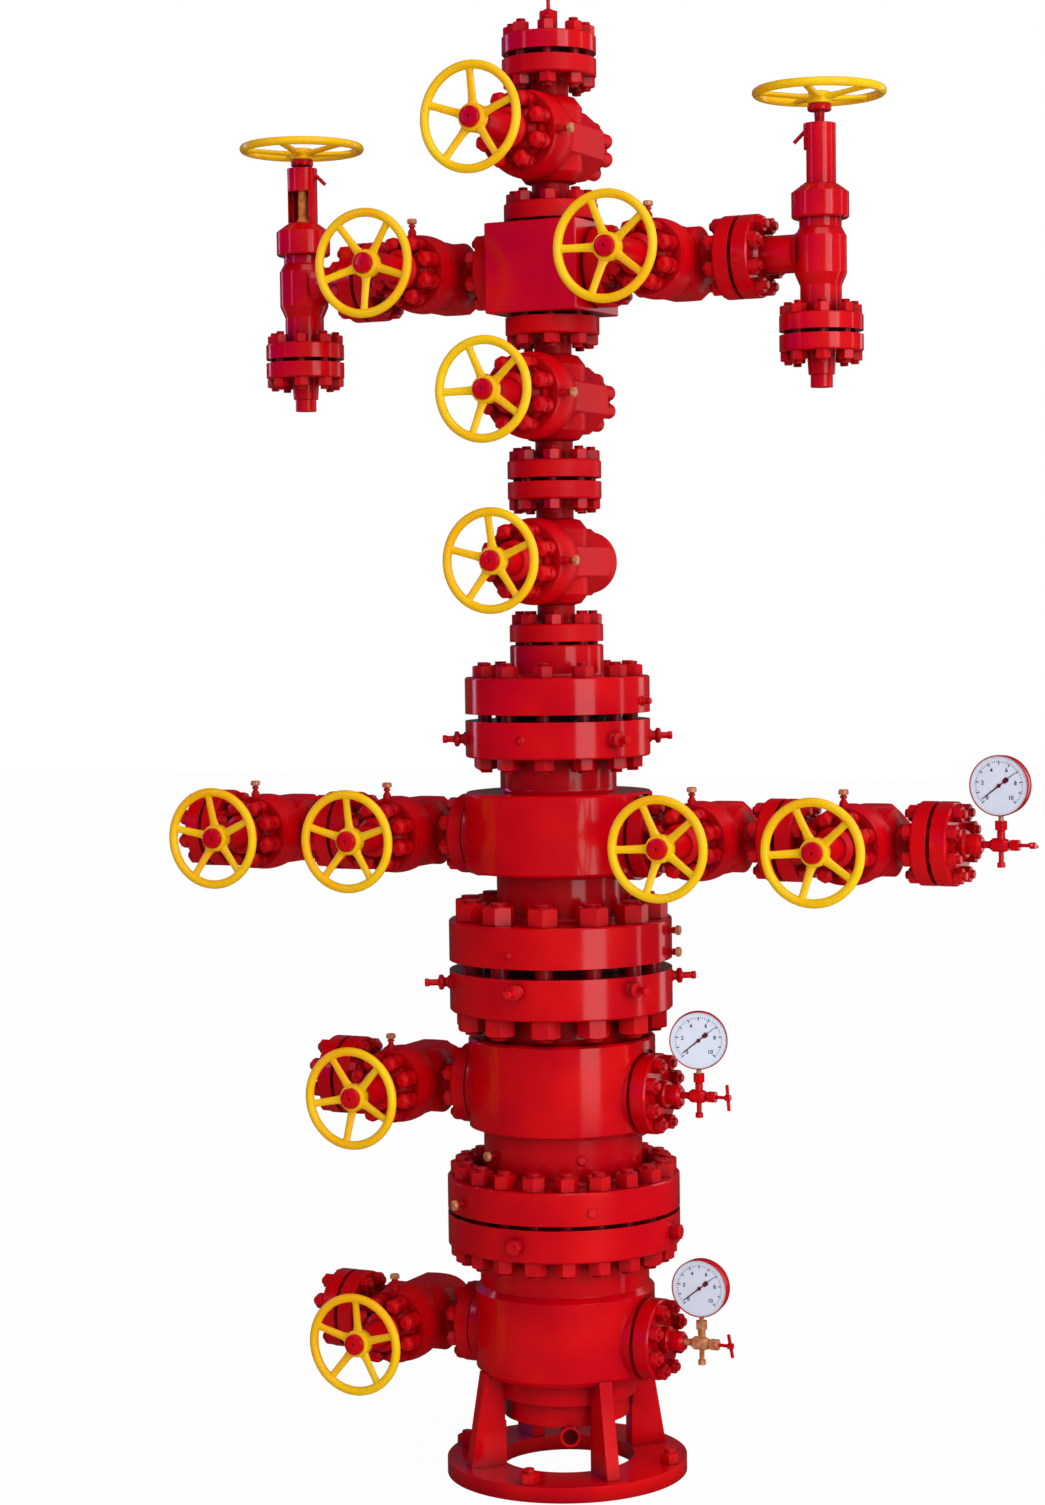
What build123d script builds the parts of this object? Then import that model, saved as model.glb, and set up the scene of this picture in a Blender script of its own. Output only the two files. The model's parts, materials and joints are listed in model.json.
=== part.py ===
from build123d import *
import os
from math import cos, radians, sin

os.makedirs("parts", exist_ok=True)

# Oil wellhead and valve tree, in millimetres. The origin is on the stack's axis, on the underside
# of the base ring. +Z runs up the stack, +X along the right arms, and the hand wheels face -Y.

# Clearances and small fits
cut_overrun = 1.0
running_clearance = 0.3
hub_gap = 6.0
raised_face_height = 2.0
ring_land = 6.0
edge_chamfer = 4.0
weld_land = 4.0
octagon_sides = 8
hexagon_sides = 6

# Base ring, its four gusset plates and the anchor holes
ring_outer_radius = 316.0
ring_inner_radius = 176.0
ring_thickness = 40.0
anchor_circle_radius = 284.0
anchor_hole_radius = 16.0
anchor_count = 4
anchor_first_angle = 5.4
gusset_count = 4
gusset_thickness = 36.0
gusset_foot_radius = 282.0
gusset_inner_radius = 182.0
gusset_first_angle = 50.4

# Stack flanges: radius, thickness and the gap to the mate
seal_13_radius = 205.0
flange_13_radius = 305.0
flange_13_thickness = 87.0
flange_13_gap = 7.0
seal_11_radius = 160.0
flange_11_radius = 292.0
flange_11_thickness = 108.0
flange_11_gap = 22.0
seal_9_radius = 135.0
flange_9_radius = 241.3
flange_9_thickness = 97.0
flange_9_gap = 14.0

# Casing head, with the drain pipe welded under its sleeve
head_sleeve_bottom = 155.0
head_sleeve_radius = 165.0
head_sleeve_length = 58.0
head_step_radius = 186.0
head_step_length = 58.0
head_barrel_radius = 236.0
head_barrel_length = 232.0
head_barrel_chamfer = 14.0
head_neck_radius = 222.0
head_neck_length = 106.0
casing_bore_radius = 123.0
casing_bore_depth = 112.0
drain_pipe_angle = -61.6
drain_pipe_radius = 27.0
drain_pipe_bore = 20.0
drain_pipe_drop = 23.5
drain_pipe_start = 130.0
drain_pipe_reach = 176.0
drain_pipe_depth = 38.0

# Casing spool
spool_neck_radius = 208.0
spool_neck_length = 130.0
spool_barrel_radius = 245.0
spool_barrel_length = 234.0
spool_top_neck_radius = 198.0
spool_top_neck_length = 70.0

# Tubing head
tubing_neck_radius = 165.0
tubing_neck_length = 124.0
tubing_barrel_radius = 245.0
tubing_barrel_length = 207.0
tubing_top_neck_radius = 152.0
tubing_top_neck_length = 92.0
barrel_rim = 6.0

# Outlets on the sides of the three heads, each at a rise above its barrel's lower edge
outlet_face = 232.0
outlet_pad_radius = 112.0
outlet_gap = 5.0
head_outlet_rise = 99.0
spool_outlet_rise = 92.0
tubing_outlet_rise = 91.0

# Adapter between the heads and the tree
adapter_barrel_radius = 122.0
adapter_barrel_length = 82.0

# Main gate valves, on the stack
main_face_to_face = 418.0
main_flange_radius = 122.15
main_flange_thickness = 48.0
main_seal_radius = 60.0
main_neck_radius = 49.0
main_shoulder_radius = 66.0
main_bulge_radius = 112.0
main_lip_radius = 104.0
main_tail_flats = 88.0
main_cap_radius = 82.0
main_front = 188.0
main_flats_start = 58.0
main_tail_end = 152.0
main_back = 224.0
main_gap = 6.0
lower_master_wheel_reach = 376.0
upper_master_wheel_reach = 403.0
swab_wheel_reach = 452.0

# Side gate valves, on the arms
side_face_to_face = 398.0
side_flange_radius = 105.0
side_flange_thickness = 44.0
side_seal_radius = 50.0
side_neck_radius = 46.0
side_shoulder_radius = 60.0
side_bulge_radius = 102.0
side_lip_radius = 96.0
side_tail_flats = 89.0
side_cap_radius = 74.0
side_front = 150.0
side_flats_start = 40.0
side_tail_end = 126.0
side_back = 190.0
side_gap = 6.0
side_wheel_reach = 356.0
wing_wheel_reach = 400.0

# Parts that both sizes of gate valve share
lip_thickness = 16.0
tail_chamfer = 14.0
cap_dome = 18.0
cap_lobe_count = 8
bonnet_lobe_count = 8
bonnet_lobe_radius = 21.0
bonnet_flange_thickness = 30.0
bonnet_web = 14.0
bonnet_neck_radius = 52.0
bonnet_neck_length = 46.0
bonnet_neck_taper = 12.0
bonnet_sleeve_radius = 34.0
stem_radius = 13.0
stem_fit_depth = 36.0
fitting_boss_radius = 11.0
fitting_boss_height = 12.0
fitting_boss_setback = 13.0

# Hand wheel of a gate valve, dished so that its hub sits behind its rim
wheel_radius = 132.0
top_wheel_radius = 138.0
wheel_rim_radius = 12.5
wheel_dish = 18.0
wheel_spoke_count = 5
wheel_spoke_hub_half_width = 13.0
wheel_spoke_rim_half_width = 9.5
wheel_spoke_half_thickness = 7.5
wheel_hub_radius = 36.0
wheel_hub_length = 34.0
wheel_nut_radius = 27.0
wheel_nut_length = 12.0

# Cross block
block_width = 260.0
block_height = 232.0
block_chamfer = 3.0

# Tree cap
cap_gap = 11.0
cap_cone_radius = 36.0
cap_cone_length = 26.0
cap_hex_radius = 26.0
cap_hex_length = 38.0
cap_top_cone_length = 8.0
cap_tip_radius = 5.0
cap_tip_length = 32.0

# Chokes
choke_reach = 202.0
choke_body_radius = 65.0
choke_body_above = 60.0
choke_body_below = 54.0
choke_shoulder_length = 22.0
choke_cone_length = 30.0
choke_neck_radius = 52.0
choke_arm_radius = 48.0
choke_arm_flare = 10.0
choke_outlet_drop = 198.0
choke_groove_radius = 53.0
choke_groove_length = 22.0
choke_collar_radius = 72.0
choke_collar_length = 84.0
choke_collar_cone_length = 20.0
choke_collar_top_radius = 45.0
choke_yoke_radius = 40.0
choke_yoke_bore = 28.0
choke_yoke_length = 150.0
choke_yoke_rim = 16.0
choke_window_height = 84.0
choke_window_sill = 4.0
choke_window_width = 64.0
choke_window_angles = (-90.0, 180.0)
choke_lever_radius = 5.0
choke_lever_length = 52.0
choke_lever_droop = 45.0
choke_lever_angles = (10.0, 190.0)
choke_stem_radius = 13.0
choke_tip_radius = 22.0
choke_tip_length = 34.0
choke_stem_nut_radius = 30.0
choke_stem_nut_length = 18.0
choke_wheel_radius = 167.0
choke_wheel_rim_radius = 11.0
choke_wheel_dish = 14.0
choke_wheel_hub_radius = 30.0
choke_wheel_hub_length = 30.0
choke_spoke_angle = 60.0
choke_travel = 25.0
choke_nipple_radius = 37.0
choke_nipple_length = 55.0
choke_nipple_tip_radius = 28.0
choke_nipple_tip_length = 32.0

# Gauge flange, needle valve and pressure gauge
gauge_hub_radius = 36.0
gauge_hub_length = 24.0
gauge_boss_radius = 26.0
gauge_boss_length = 38.0
gauge_boss_chamfer = 8.0
needle_pipe_radius = 9.0
needle_pipe_length = 26.0
needle_body_radius = 17.0
needle_body_length = 40.0
needle_cone_length = 10.0
needle_groove_radius = 8.0
needle_groove_length = 5.0
needle_nut_radius = 15.0
needle_nut_length = 22.0
needle_stem_radius = 4.5
needle_stem_length = 26.0
needle_branch_radius = 10.0
needle_branch_length = 20.0
gauge_nut_radius = 15.5
gauge_nut_length = 22.0
needle_foot_radius = 6.5
needle_foot_length = 26.0
needle_plug_radius = 10.0
needle_plug_length = 12.0
tee_bar_radius = 4.5
tee_bar_length = 68.0
tee_hub_radius = 8.0
tee_hub_length = 14.0
tee_bar_tilts = (82.0, 10.0, 22.0)
gauge_radius = 75.0
gauge_depth = 42.0
gauge_socket_radius = 5.5
gauge_rise = 146.0
gauge_turns = (0.0, 22.0, 4.0)

# Lockdown screws, their glands and the ports beside them
gland_radius = 19.0
gland_length = 20.0
screw_radius = 9.0
screw_length = 34.0
lock_screw_count = 6
test_screw_count = 4
test_screw_length = 24.0
port_radius = 12.5
port_length = 5.0
test_port_radius = 8.0
test_port_length = 22.0

# Grease fittings: pin, hexagon and cap
fitting_pin_radius = 5.0
fitting_pin_length = 12.0
fitting_hex_radius = 12.0
fitting_hex_length = 12.0
fitting_cap_radius = 8.5
fitting_cap_length = 8.0

# Heights up the stack, each from the piece below
head_barrel_bottom = head_sleeve_bottom + head_sleeve_length + head_step_length
head_barrel_top = head_barrel_bottom + head_barrel_length
head_top = head_barrel_top + head_neck_length + flange_13_thickness
spool_bottom = head_top + flange_13_gap
spool_barrel_bottom = spool_bottom + flange_13_thickness + spool_neck_length
spool_barrel_top = spool_barrel_bottom + spool_barrel_length
spool_top = spool_barrel_top + spool_top_neck_length + flange_11_thickness
tubing_bottom = spool_top + flange_11_gap
tubing_barrel_bottom = tubing_bottom + flange_11_thickness + tubing_neck_length
tubing_barrel_top = tubing_barrel_bottom + tubing_barrel_length
tubing_top = tubing_barrel_top + tubing_top_neck_length + flange_9_thickness
adapter_bottom = tubing_top + flange_9_gap
adapter_top = adapter_bottom + flange_9_thickness + adapter_barrel_length
lower_master_bottom = adapter_top + main_gap
lower_master_height = lower_master_bottom + main_face_to_face / 2
upper_master_bottom = lower_master_bottom + main_face_to_face + main_gap
upper_master_height = upper_master_bottom + main_face_to_face / 2
block_bottom = upper_master_bottom + main_face_to_face + main_gap
block_top = block_bottom + block_height
wing_height = block_bottom + block_height / 2
swab_bottom = block_top + main_gap
swab_height = swab_bottom + main_face_to_face / 2
cap_bottom = swab_bottom + main_face_to_face + cap_gap
head_outlet_height = head_barrel_bottom + head_outlet_rise
spool_outlet_height = spool_barrel_bottom + spool_outlet_rise
tubing_outlet_height = tubing_barrel_bottom + tubing_outlet_rise

# Places along the arms
arm_half = side_face_to_face / 2
arm_pitch = side_face_to_face + side_gap
outlet_valve_place = outlet_face + outlet_gap + arm_half
outer_valve_place = outlet_valve_place + arm_pitch
wing_valve_place = block_width / 2 + side_gap + arm_half
choke_flange_place = wing_valve_place + arm_half + side_gap
choke_place = choke_flange_place + choke_reach


def save(part, label):
    part.label = label
    export_step(part, f"parts/{label}.step")


def half_plane(plane):
    """The plane through a piece's axis: x is the radius and y the place along the axis."""
    return Plane(origin=plane.origin, x_dir=plane.x_dir, z_dir=-plane.y_dir)


def turn(plane, outline, mode=Mode.ADD):
    """Turns an outline of (radius, place along the axis) points about the plane's normal."""
    with BuildSketch(half_plane(plane)) as profile:
        with BuildLine():
            Polyline(*outline, close=True)
        make_face()
    revolve(profile.sketch, axis=Axis(plane.origin, plane.z_dir), mode=mode)


def rod(plane, radius, start, end, mode=Mode.ADD):
    """A round bar along the plane's normal, from start to end."""
    with BuildSketch(plane.offset(start)) as section:
        Circle(radius)
    extrude(section.sketch, amount=end - start, mode=mode)


def hex_bar(plane, radius, start, end):
    """A hexagon bar along the plane's normal, with its corners at the radius."""
    with BuildSketch(plane.offset(start)) as section:
        RegularPolygon(radius, hexagon_sides)
    extrude(section.sketch, amount=end - start)


def stack_plane(height=0.0):
    return Plane.XY.offset(height)


def upright_plane(x, height=0.0):
    return Plane(origin=(x, 0, height))


def arm_plane(side, place, height):
    """A plane across an arm, with its normal pointing away from the stack."""
    return Plane(origin=(side * place, 0, height), x_dir=(0, 1, 0), z_dir=(side, 0, 0))


def front_plane(x, height, reach=0.0):
    """A plane that faces the viewer, with its normal along -Y."""
    return Plane(origin=(x, -reach, height), x_dir=(1, 0, 0), z_dir=(0, -1, 0))


def radial_plane(angle, radius, height):
    """A plane on the side of the stack, with its normal pointing out at an angle."""
    out = Vector(cos(radians(angle)), sin(radians(angle)), 0)
    return Plane(origin=out * radius + Vector(0, 0, height), x_dir=(0, 0, 1), z_dir=out)


def flange_steps(bottom, thickness, radius, seal_radius, face_up):
    """The outside of a flange, from bottom to top, with the raised face on one side."""
    if face_up:
        face = bottom + thickness - raised_face_height
        return [
            (radius - edge_chamfer, bottom),
            (radius, bottom + edge_chamfer),
            (radius, face),
            (seal_radius, face),
            (seal_radius, face + raised_face_height),
        ]
    face = bottom + raised_face_height
    return [
        (seal_radius, bottom),
        (seal_radius, face),
        (radius, face),
        (radius, bottom + thickness - edge_chamfer),
        (radius - edge_chamfer, bottom + thickness),
    ]


def side_flange(bottom, face_up=False):
    """The steps of a flange on an arm or a choke."""
    return flange_steps(
        bottom, side_flange_thickness, side_flange_radius, side_seal_radius, face_up
    )


def outlets(height):
    """The two flat round seats on the sides of a head."""
    for side in (-1, 1):
        plane = arm_plane(side, outlet_face, height)
        rod(plane, outlet_pad_radius, 0, outlet_face, Mode.SUBTRACT)
        rod(plane, outlet_pad_radius, -outlet_face, 0)


# Base ring
with BuildPart() as base_ring:
    with BuildSketch():
        Circle(ring_outer_radius)
        Circle(ring_inner_radius, mode=Mode.SUBTRACT)
        with PolarLocations(anchor_circle_radius, anchor_count, start_angle=anchor_first_angle):
            Circle(anchor_hole_radius, mode=Mode.SUBTRACT)
    extrude(amount=ring_thickness)
save(base_ring.part, "base_ring")

# Gusset plates, from the ring up to the casing head's barrel
gusset_top = head_barrel_bottom + head_barrel_chamfer
with BuildPart() as base_gussets:
    for number in range(gusset_count):
        angle = gusset_first_angle + number * 360 / gusset_count
        plate_plane = Plane.XZ.rotated((0, 0, angle)).offset(-gusset_thickness / 2)
        with BuildSketch(plate_plane) as plate:
            with BuildLine():
                Polyline(
                    (gusset_inner_radius, ring_thickness),
                    (gusset_foot_radius, ring_thickness),
                    (head_barrel_radius + weld_land, gusset_top),
                    (gusset_inner_radius, gusset_top),
                    close=True,
                )
            make_face()
        extrude(plate.sketch, amount=gusset_thickness)
    turn(
        stack_plane(),
        [
            (0, head_sleeve_bottom),
            (head_step_radius + running_clearance, head_sleeve_bottom),
            (head_step_radius + running_clearance, head_barrel_bottom - running_clearance),
            (
                head_barrel_radius - head_barrel_chamfer + running_clearance,
                head_barrel_bottom - running_clearance,
            ),
            (
                head_barrel_radius + running_clearance,
                head_barrel_bottom + head_barrel_chamfer - running_clearance,
            ),
            (head_barrel_radius + running_clearance, gusset_top + cut_overrun),
            (0, gusset_top + cut_overrun),
        ],
        Mode.SUBTRACT,
    )
save(base_gussets.part, "base_gussets")

# Casing head
with BuildPart() as casing_head:
    turn(
        stack_plane(),
        [
            (0, head_sleeve_bottom),
            (head_sleeve_radius, head_sleeve_bottom),
            (head_sleeve_radius, head_sleeve_bottom + head_sleeve_length),
            (head_step_radius, head_sleeve_bottom + head_sleeve_length),
            (head_step_radius, head_barrel_bottom),
            (head_barrel_radius - head_barrel_chamfer, head_barrel_bottom),
            (head_barrel_radius, head_barrel_bottom + head_barrel_chamfer),
            (head_barrel_radius, head_barrel_top - head_barrel_chamfer),
            (head_neck_radius, head_barrel_top),
            (head_neck_radius, head_barrel_top + head_neck_length),
            *flange_steps(
                head_top - flange_13_thickness,
                flange_13_thickness,
                flange_13_radius,
                seal_13_radius,
                True,
            ),
            (0, head_top),
        ],
    )
    outlets(head_outlet_height)
    drain_pipe = radial_plane(drain_pipe_angle, 0, head_sleeve_bottom - drain_pipe_drop)
    rod(drain_pipe, drain_pipe_radius, drain_pipe_start, drain_pipe_reach)
    rod(
        drain_pipe,
        drain_pipe_bore,
        drain_pipe_reach - drain_pipe_depth,
        drain_pipe_reach + cut_overrun,
        Mode.SUBTRACT,
    )
    rod(
        stack_plane(head_sleeve_bottom),
        casing_bore_radius,
        -cut_overrun,
        casing_bore_depth,
        Mode.SUBTRACT,
    )
save(casing_head.part, "casing_head")

# Casing spool
with BuildPart() as casing_spool:
    turn(
        stack_plane(),
        [
            (0, spool_bottom),
            *flange_steps(
                spool_bottom,
                flange_13_thickness,
                flange_13_radius,
                seal_13_radius,
                False,
            ),
            (spool_neck_radius, spool_bottom + flange_13_thickness),
            (spool_neck_radius, spool_barrel_bottom),
            (spool_barrel_radius, spool_barrel_bottom),
            (spool_barrel_radius, spool_barrel_top - barrel_rim),
            (spool_barrel_radius - barrel_rim, spool_barrel_top),
            (spool_top_neck_radius, spool_barrel_top),
            (spool_top_neck_radius, spool_barrel_top + spool_top_neck_length),
            *flange_steps(
                spool_top - flange_11_thickness,
                flange_11_thickness,
                flange_11_radius,
                seal_11_radius,
                True,
            ),
            (0, spool_top),
        ],
    )
    outlets(spool_outlet_height)
save(casing_spool.part, "casing_spool")

# Tubing head
with BuildPart() as tubing_head:
    turn(
        stack_plane(),
        [
            (0, tubing_bottom),
            *flange_steps(
                tubing_bottom,
                flange_11_thickness,
                flange_11_radius,
                seal_11_radius,
                False,
            ),
            (tubing_neck_radius, tubing_bottom + flange_11_thickness),
            (tubing_neck_radius, tubing_barrel_bottom),
            (tubing_barrel_radius - barrel_rim, tubing_barrel_bottom),
            (tubing_barrel_radius, tubing_barrel_bottom + barrel_rim),
            (tubing_barrel_radius, tubing_barrel_top - barrel_rim),
            (tubing_barrel_radius - barrel_rim, tubing_barrel_top),
            (tubing_top_neck_radius, tubing_barrel_top),
            (tubing_top_neck_radius, tubing_barrel_top + tubing_top_neck_length),
            *flange_steps(
                tubing_top - flange_9_thickness,
                flange_9_thickness,
                flange_9_radius,
                seal_9_radius,
                True,
            ),
            (0, tubing_top),
        ],
    )
    outlets(tubing_outlet_height)
save(tubing_head.part, "tubing_head")

# Adapter
with BuildPart() as tree_adapter:
    turn(
        stack_plane(),
        [
            (0, adapter_bottom),
            *flange_steps(
                adapter_bottom,
                flange_9_thickness,
                flange_9_radius,
                seal_9_radius,
                False,
            ),
            (adapter_barrel_radius, adapter_bottom + flange_9_thickness),
            (adapter_barrel_radius, adapter_top - edge_chamfer),
            (adapter_barrel_radius - edge_chamfer, adapter_top),
            (0, adapter_top),
        ],
    )
save(tree_adapter.part, "tree_adapter")


class GateValve:
    """The sizes of one kind of gate valve. Reaches run along the stem, from the bore."""

    def __init__(self, **sizes):
        self.__dict__.update(sizes)


main_valve = GateValve(
    length=main_face_to_face,
    flange=main_flange_radius,
    thickness=main_flange_thickness,
    seal=main_seal_radius,
    neck=main_neck_radius,
    shoulder=main_shoulder_radius,
    bulge=main_bulge_radius,
    lip=main_lip_radius,
    flats=main_tail_flats,
    cap=main_cap_radius,
    front=main_front,
    flats_start=main_flats_start,
    tail_end=main_tail_end,
    back=main_back,
)
side_valve = GateValve(
    length=side_face_to_face,
    flange=side_flange_radius,
    thickness=side_flange_thickness,
    seal=side_seal_radius,
    neck=side_neck_radius,
    shoulder=side_shoulder_radius,
    bulge=side_bulge_radius,
    lip=side_lip_radius,
    flats=side_tail_flats,
    cap=side_cap_radius,
    front=side_front,
    flats_start=side_flats_start,
    tail_end=side_tail_end,
    back=side_back,
)

# The corners of an eight-sided tail stand further out than its flats
octagon_corner_share = 1 / cos(radians(180 / octagon_sides))


def lobed_disc(plane, outer, lobe_radius, count, start, end):
    """A disc with a round lobe for each stud round its edge."""
    circle = outer - lobe_radius
    with BuildSketch(plane.offset(start)) as section:
        Circle(circle)
        with PolarLocations(circle, count, start_angle=180 / count):
            Circle(lobe_radius)
    extrude(section.sketch, amount=end - start)


def flow_ends(valve, centre, flow):
    """The flanged ends of a gate valve, with the shoulders where its necks meet the barrel."""
    across = (0, 1, 0) if flow[0] else (1, 0, 0)
    half = valve.length / 2
    neck_end = half - valve.thickness
    turn(
        Plane(origin=centre, x_dir=across, z_dir=flow),
        [
            (0, -half),
            *flange_steps(-half, valve.thickness, valve.flange, valve.seal, False),
            (valve.neck, -neck_end),
            (valve.neck, -valve.bulge),
            (valve.shoulder, edge_chamfer - valve.bulge),
            (valve.flats - edge_chamfer, edge_chamfer - valve.flats),
            (valve.flats - edge_chamfer, valve.flats - edge_chamfer),
            (valve.shoulder, valve.bulge - edge_chamfer),
            (valve.neck, valve.bulge),
            (valve.neck, neck_end),
            *flange_steps(neck_end, valve.thickness, valve.flange, valve.seal, True),
            (0, half),
        ],
    )


def valve_body(valve, x, height, flow, lobed):
    """One gate valve body: flanged ends, a round barrel and an eight-sided tail behind it."""
    centre = (x, 0, height)
    stem_plane = front_plane(x, height)
    flow_ends(valve, centre, flow)
    corner = valve.flats * octagon_corner_share
    lip_back = valve.front - lip_thickness
    with BuildSketch(half_plane(stem_plane)) as barrel:
        with BuildLine():
            Line((0, valve.front), (valve.lip, valve.front))
            Line((valve.lip, valve.front), (valve.lip, lip_back))
            ThreePointArc(
                (valve.lip, lip_back),
                (valve.bulge, (lip_back + valve.flats_start) / 2),
                (corner, valve.flats_start),
            )
            Line((corner, valve.flats_start), (0, valve.flats_start))
            Line((0, valve.flats_start), (0, valve.front))
        make_face()
    revolve(barrel.sketch, axis=Axis(stem_plane.origin, stem_plane.z_dir))
    with BuildSketch(stem_plane.offset(-valve.tail_end)) as tail:
        RegularPolygon(
            valve.flats,
            octagon_sides,
            major_radius=False,
            rotation=180 / octagon_sides,
        )
    extrude(tail.sketch, amount=valve.tail_end + valve.flats_start)
    turn(
        stem_plane,
        [
            (valve.flats - weld_land, -valve.tail_end - cut_overrun),
            (valve.flats + tail_chamfer, -valve.tail_end - cut_overrun),
            (valve.flats + tail_chamfer, tail_chamfer + weld_land - valve.tail_end),
            (valve.flats - weld_land, -valve.tail_end),
        ],
        Mode.SUBTRACT,
    )
    if lobed:
        lobed_disc(
            stem_plane,
            valve.cap,
            valve.cap / 4,
            cap_lobe_count,
            edge_chamfer - valve.back,
            -valve.tail_end,
        )
    else:
        turn(
            stem_plane,
            [
                (0, -valve.tail_end),
                (valve.cap, -valve.tail_end),
                (valve.cap, cap_dome - valve.back),
                (valve.cap - cap_dome, -valve.back),
                (0, -valve.back),
            ],
        )
    out = along if flow == up else up
    boss = Plane(origin=(x, fitting_boss_setback - valve.front, height), z_dir=out)
    rod(boss, fitting_boss_radius, 0, valve.lip + fitting_boss_height)


up = (0, 0, 1)
along = (1, 0, 0)


def place_valve(kind, x, height, flow, reach, lobed=True, wheel=wheel_radius):
    """Where one gate valve stands, the radius of its hand wheel and the wheel's reach."""
    return {
        "kind": kind,
        "x": x,
        "height": height,
        "flow": flow,
        "reach": reach,
        "lobed": lobed,
        "wheel": wheel,
    }


def place_side_valve(x, height, reach=side_wheel_reach, wheel=wheel_radius):
    return place_valve(side_valve, x, height, along, reach, lobed=False, wheel=wheel)


valves = {
    "lower_master": place_valve(
        main_valve, 0, lower_master_height, up, lower_master_wheel_reach, lobed=False
    ),
    "upper_master": place_valve(
        main_valve, 0, upper_master_height, up, upper_master_wheel_reach
    ),
    "swab": place_valve(
        main_valve, 0, swab_height, up, swab_wheel_reach, wheel=top_wheel_radius
    ),
    "left_wing": place_side_valve(
        -wing_valve_place, wing_height, wing_wheel_reach, top_wheel_radius
    ),
    "right_wing": place_side_valve(
        wing_valve_place, wing_height, wing_wheel_reach, top_wheel_radius
    ),
    "left_inner": place_side_valve(-outlet_valve_place, tubing_outlet_height),
    "left_outer": place_side_valve(-outer_valve_place, tubing_outlet_height),
    "right_inner": place_side_valve(outlet_valve_place, tubing_outlet_height),
    "right_outer": place_side_valve(outer_valve_place, tubing_outlet_height),
    "casing_spool": place_side_valve(-outlet_valve_place, spool_outlet_height),
    "casing_head": place_side_valve(-outlet_valve_place, head_outlet_height),
}
valve_groups = {
    "lower_master_valve": ["lower_master"],
    "upper_master_valve": ["upper_master"],
    "swab_valve": ["swab"],
    "wing_valves": ["left_wing", "right_wing"],
    "tubing_head_valves": ["left_inner", "left_outer", "right_inner", "right_outer"],
    "casing_valves": ["casing_spool", "casing_head"],
}
for group, members in valve_groups.items():
    with BuildPart() as valve_bodies:
        for member in members:
            valve = valves[member]
            valve_body(
                valve["kind"], valve["x"], valve["height"], valve["flow"], valve["lobed"]
            )
    save(valve_bodies.part, group)


def bonnet(kind, plane, reach):
    """A bonnet seated on its body's front face, with the sleeve that carries the stem."""
    flange_end = kind.front + bonnet_flange_thickness
    neck_end = flange_end + bonnet_neck_length
    sleeve_end = reach - wheel_dish - wheel_hub_length / 2 - hub_gap
    lobed_disc(
        plane,
        kind.lip - edge_chamfer,
        bonnet_lobe_radius,
        bonnet_lobe_count,
        kind.front,
        flange_end,
    )
    turn(
        plane,
        [
            (0, flange_end),
            (bonnet_neck_radius + bonnet_web, flange_end),
            (bonnet_neck_radius, flange_end + bonnet_web),
            (bonnet_neck_radius, neck_end - bonnet_neck_taper),
            (bonnet_neck_radius - bonnet_neck_taper, neck_end),
            (bonnet_sleeve_radius, neck_end),
            (bonnet_sleeve_radius, sleeve_end - edge_chamfer),
            (bonnet_sleeve_radius - edge_chamfer, sleeve_end),
            (stem_radius + running_clearance, sleeve_end),
            (stem_radius + running_clearance, sleeve_end - stem_fit_depth),
            (0, sleeve_end - stem_fit_depth),
        ],
    )


with BuildPart() as gate_valve_bonnets:
    for valve in valves.values():
        bonnet(valve["kind"], front_plane(valve["x"], valve["height"]), valve["reach"])
save(gate_valve_bonnets.part, "gate_valve_bonnets")

# Cross block
with BuildPart() as cross_block:
    with Locations((0, 0, wing_height)):
        block = Box(block_width, block_width, block_height)
    chamfer(block.edges(), block_chamfer)
save(cross_block.part, "cross_block")

# Tree cap: flange, cone, hexagon and bleed pin
cap_face = cap_bottom + main_flange_thickness
cap_hex_bottom = cap_face + cap_cone_length
cap_hex_top = cap_hex_bottom + cap_hex_length
with BuildPart() as tree_cap:
    turn(
        stack_plane(),
        [
            (0, cap_bottom),
            *flange_steps(
                cap_bottom,
                main_flange_thickness,
                main_flange_radius,
                main_seal_radius,
                False,
            ),
            (cap_cone_radius, cap_face),
            (cap_hex_radius - edge_chamfer, cap_hex_bottom),
            (0, cap_hex_bottom),
        ],
    )
    hex_bar(stack_plane(), cap_hex_radius, cap_hex_bottom, cap_hex_top)
    turn(
        stack_plane(cap_hex_top),
        [
            (0, 0),
            (cap_hex_radius - edge_chamfer, 0),
            (cap_tip_radius, cap_top_cone_length),
            (cap_tip_radius, cap_tip_length),
            (0, cap_tip_length),
        ],
    )
save(tree_cap.part, "tree_cap")

# Choke bodies: flanged arm, tee and neck down to the outlet flange
choke_sides = (-1, 1)
with BuildPart() as choke_bodies:
    for side in choke_sides:
        turn(
            arm_plane(side, choke_flange_place, wing_height),
            [
                (0, 0),
                *side_flange(0),
                (choke_arm_radius + choke_arm_flare, side_flange_thickness),
                (choke_arm_radius, side_flange_thickness + choke_arm_flare),
                (choke_arm_radius, choke_reach - choke_body_radius),
                (choke_arm_radius + choke_arm_flare, choke_reach - choke_arm_radius),
                (0, choke_reach - choke_arm_radius),
            ],
        )
        turn(
            upright_plane(side * choke_place, wing_height),
            [
                (0, -choke_outlet_drop),
                *side_flange(-choke_outlet_drop),
                (choke_neck_radius, side_flange_thickness - choke_outlet_drop),
                (choke_neck_radius, -choke_body_below - choke_cone_length),
                (choke_body_radius, -choke_body_below),
                (choke_body_radius, choke_body_above - choke_shoulder_length),
                (choke_groove_radius, choke_body_above),
                (choke_groove_radius, choke_body_above + choke_groove_length),
                (0, choke_body_above + choke_groove_length),
            ],
        )
save(choke_bodies.part, "choke_bodies")

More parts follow.
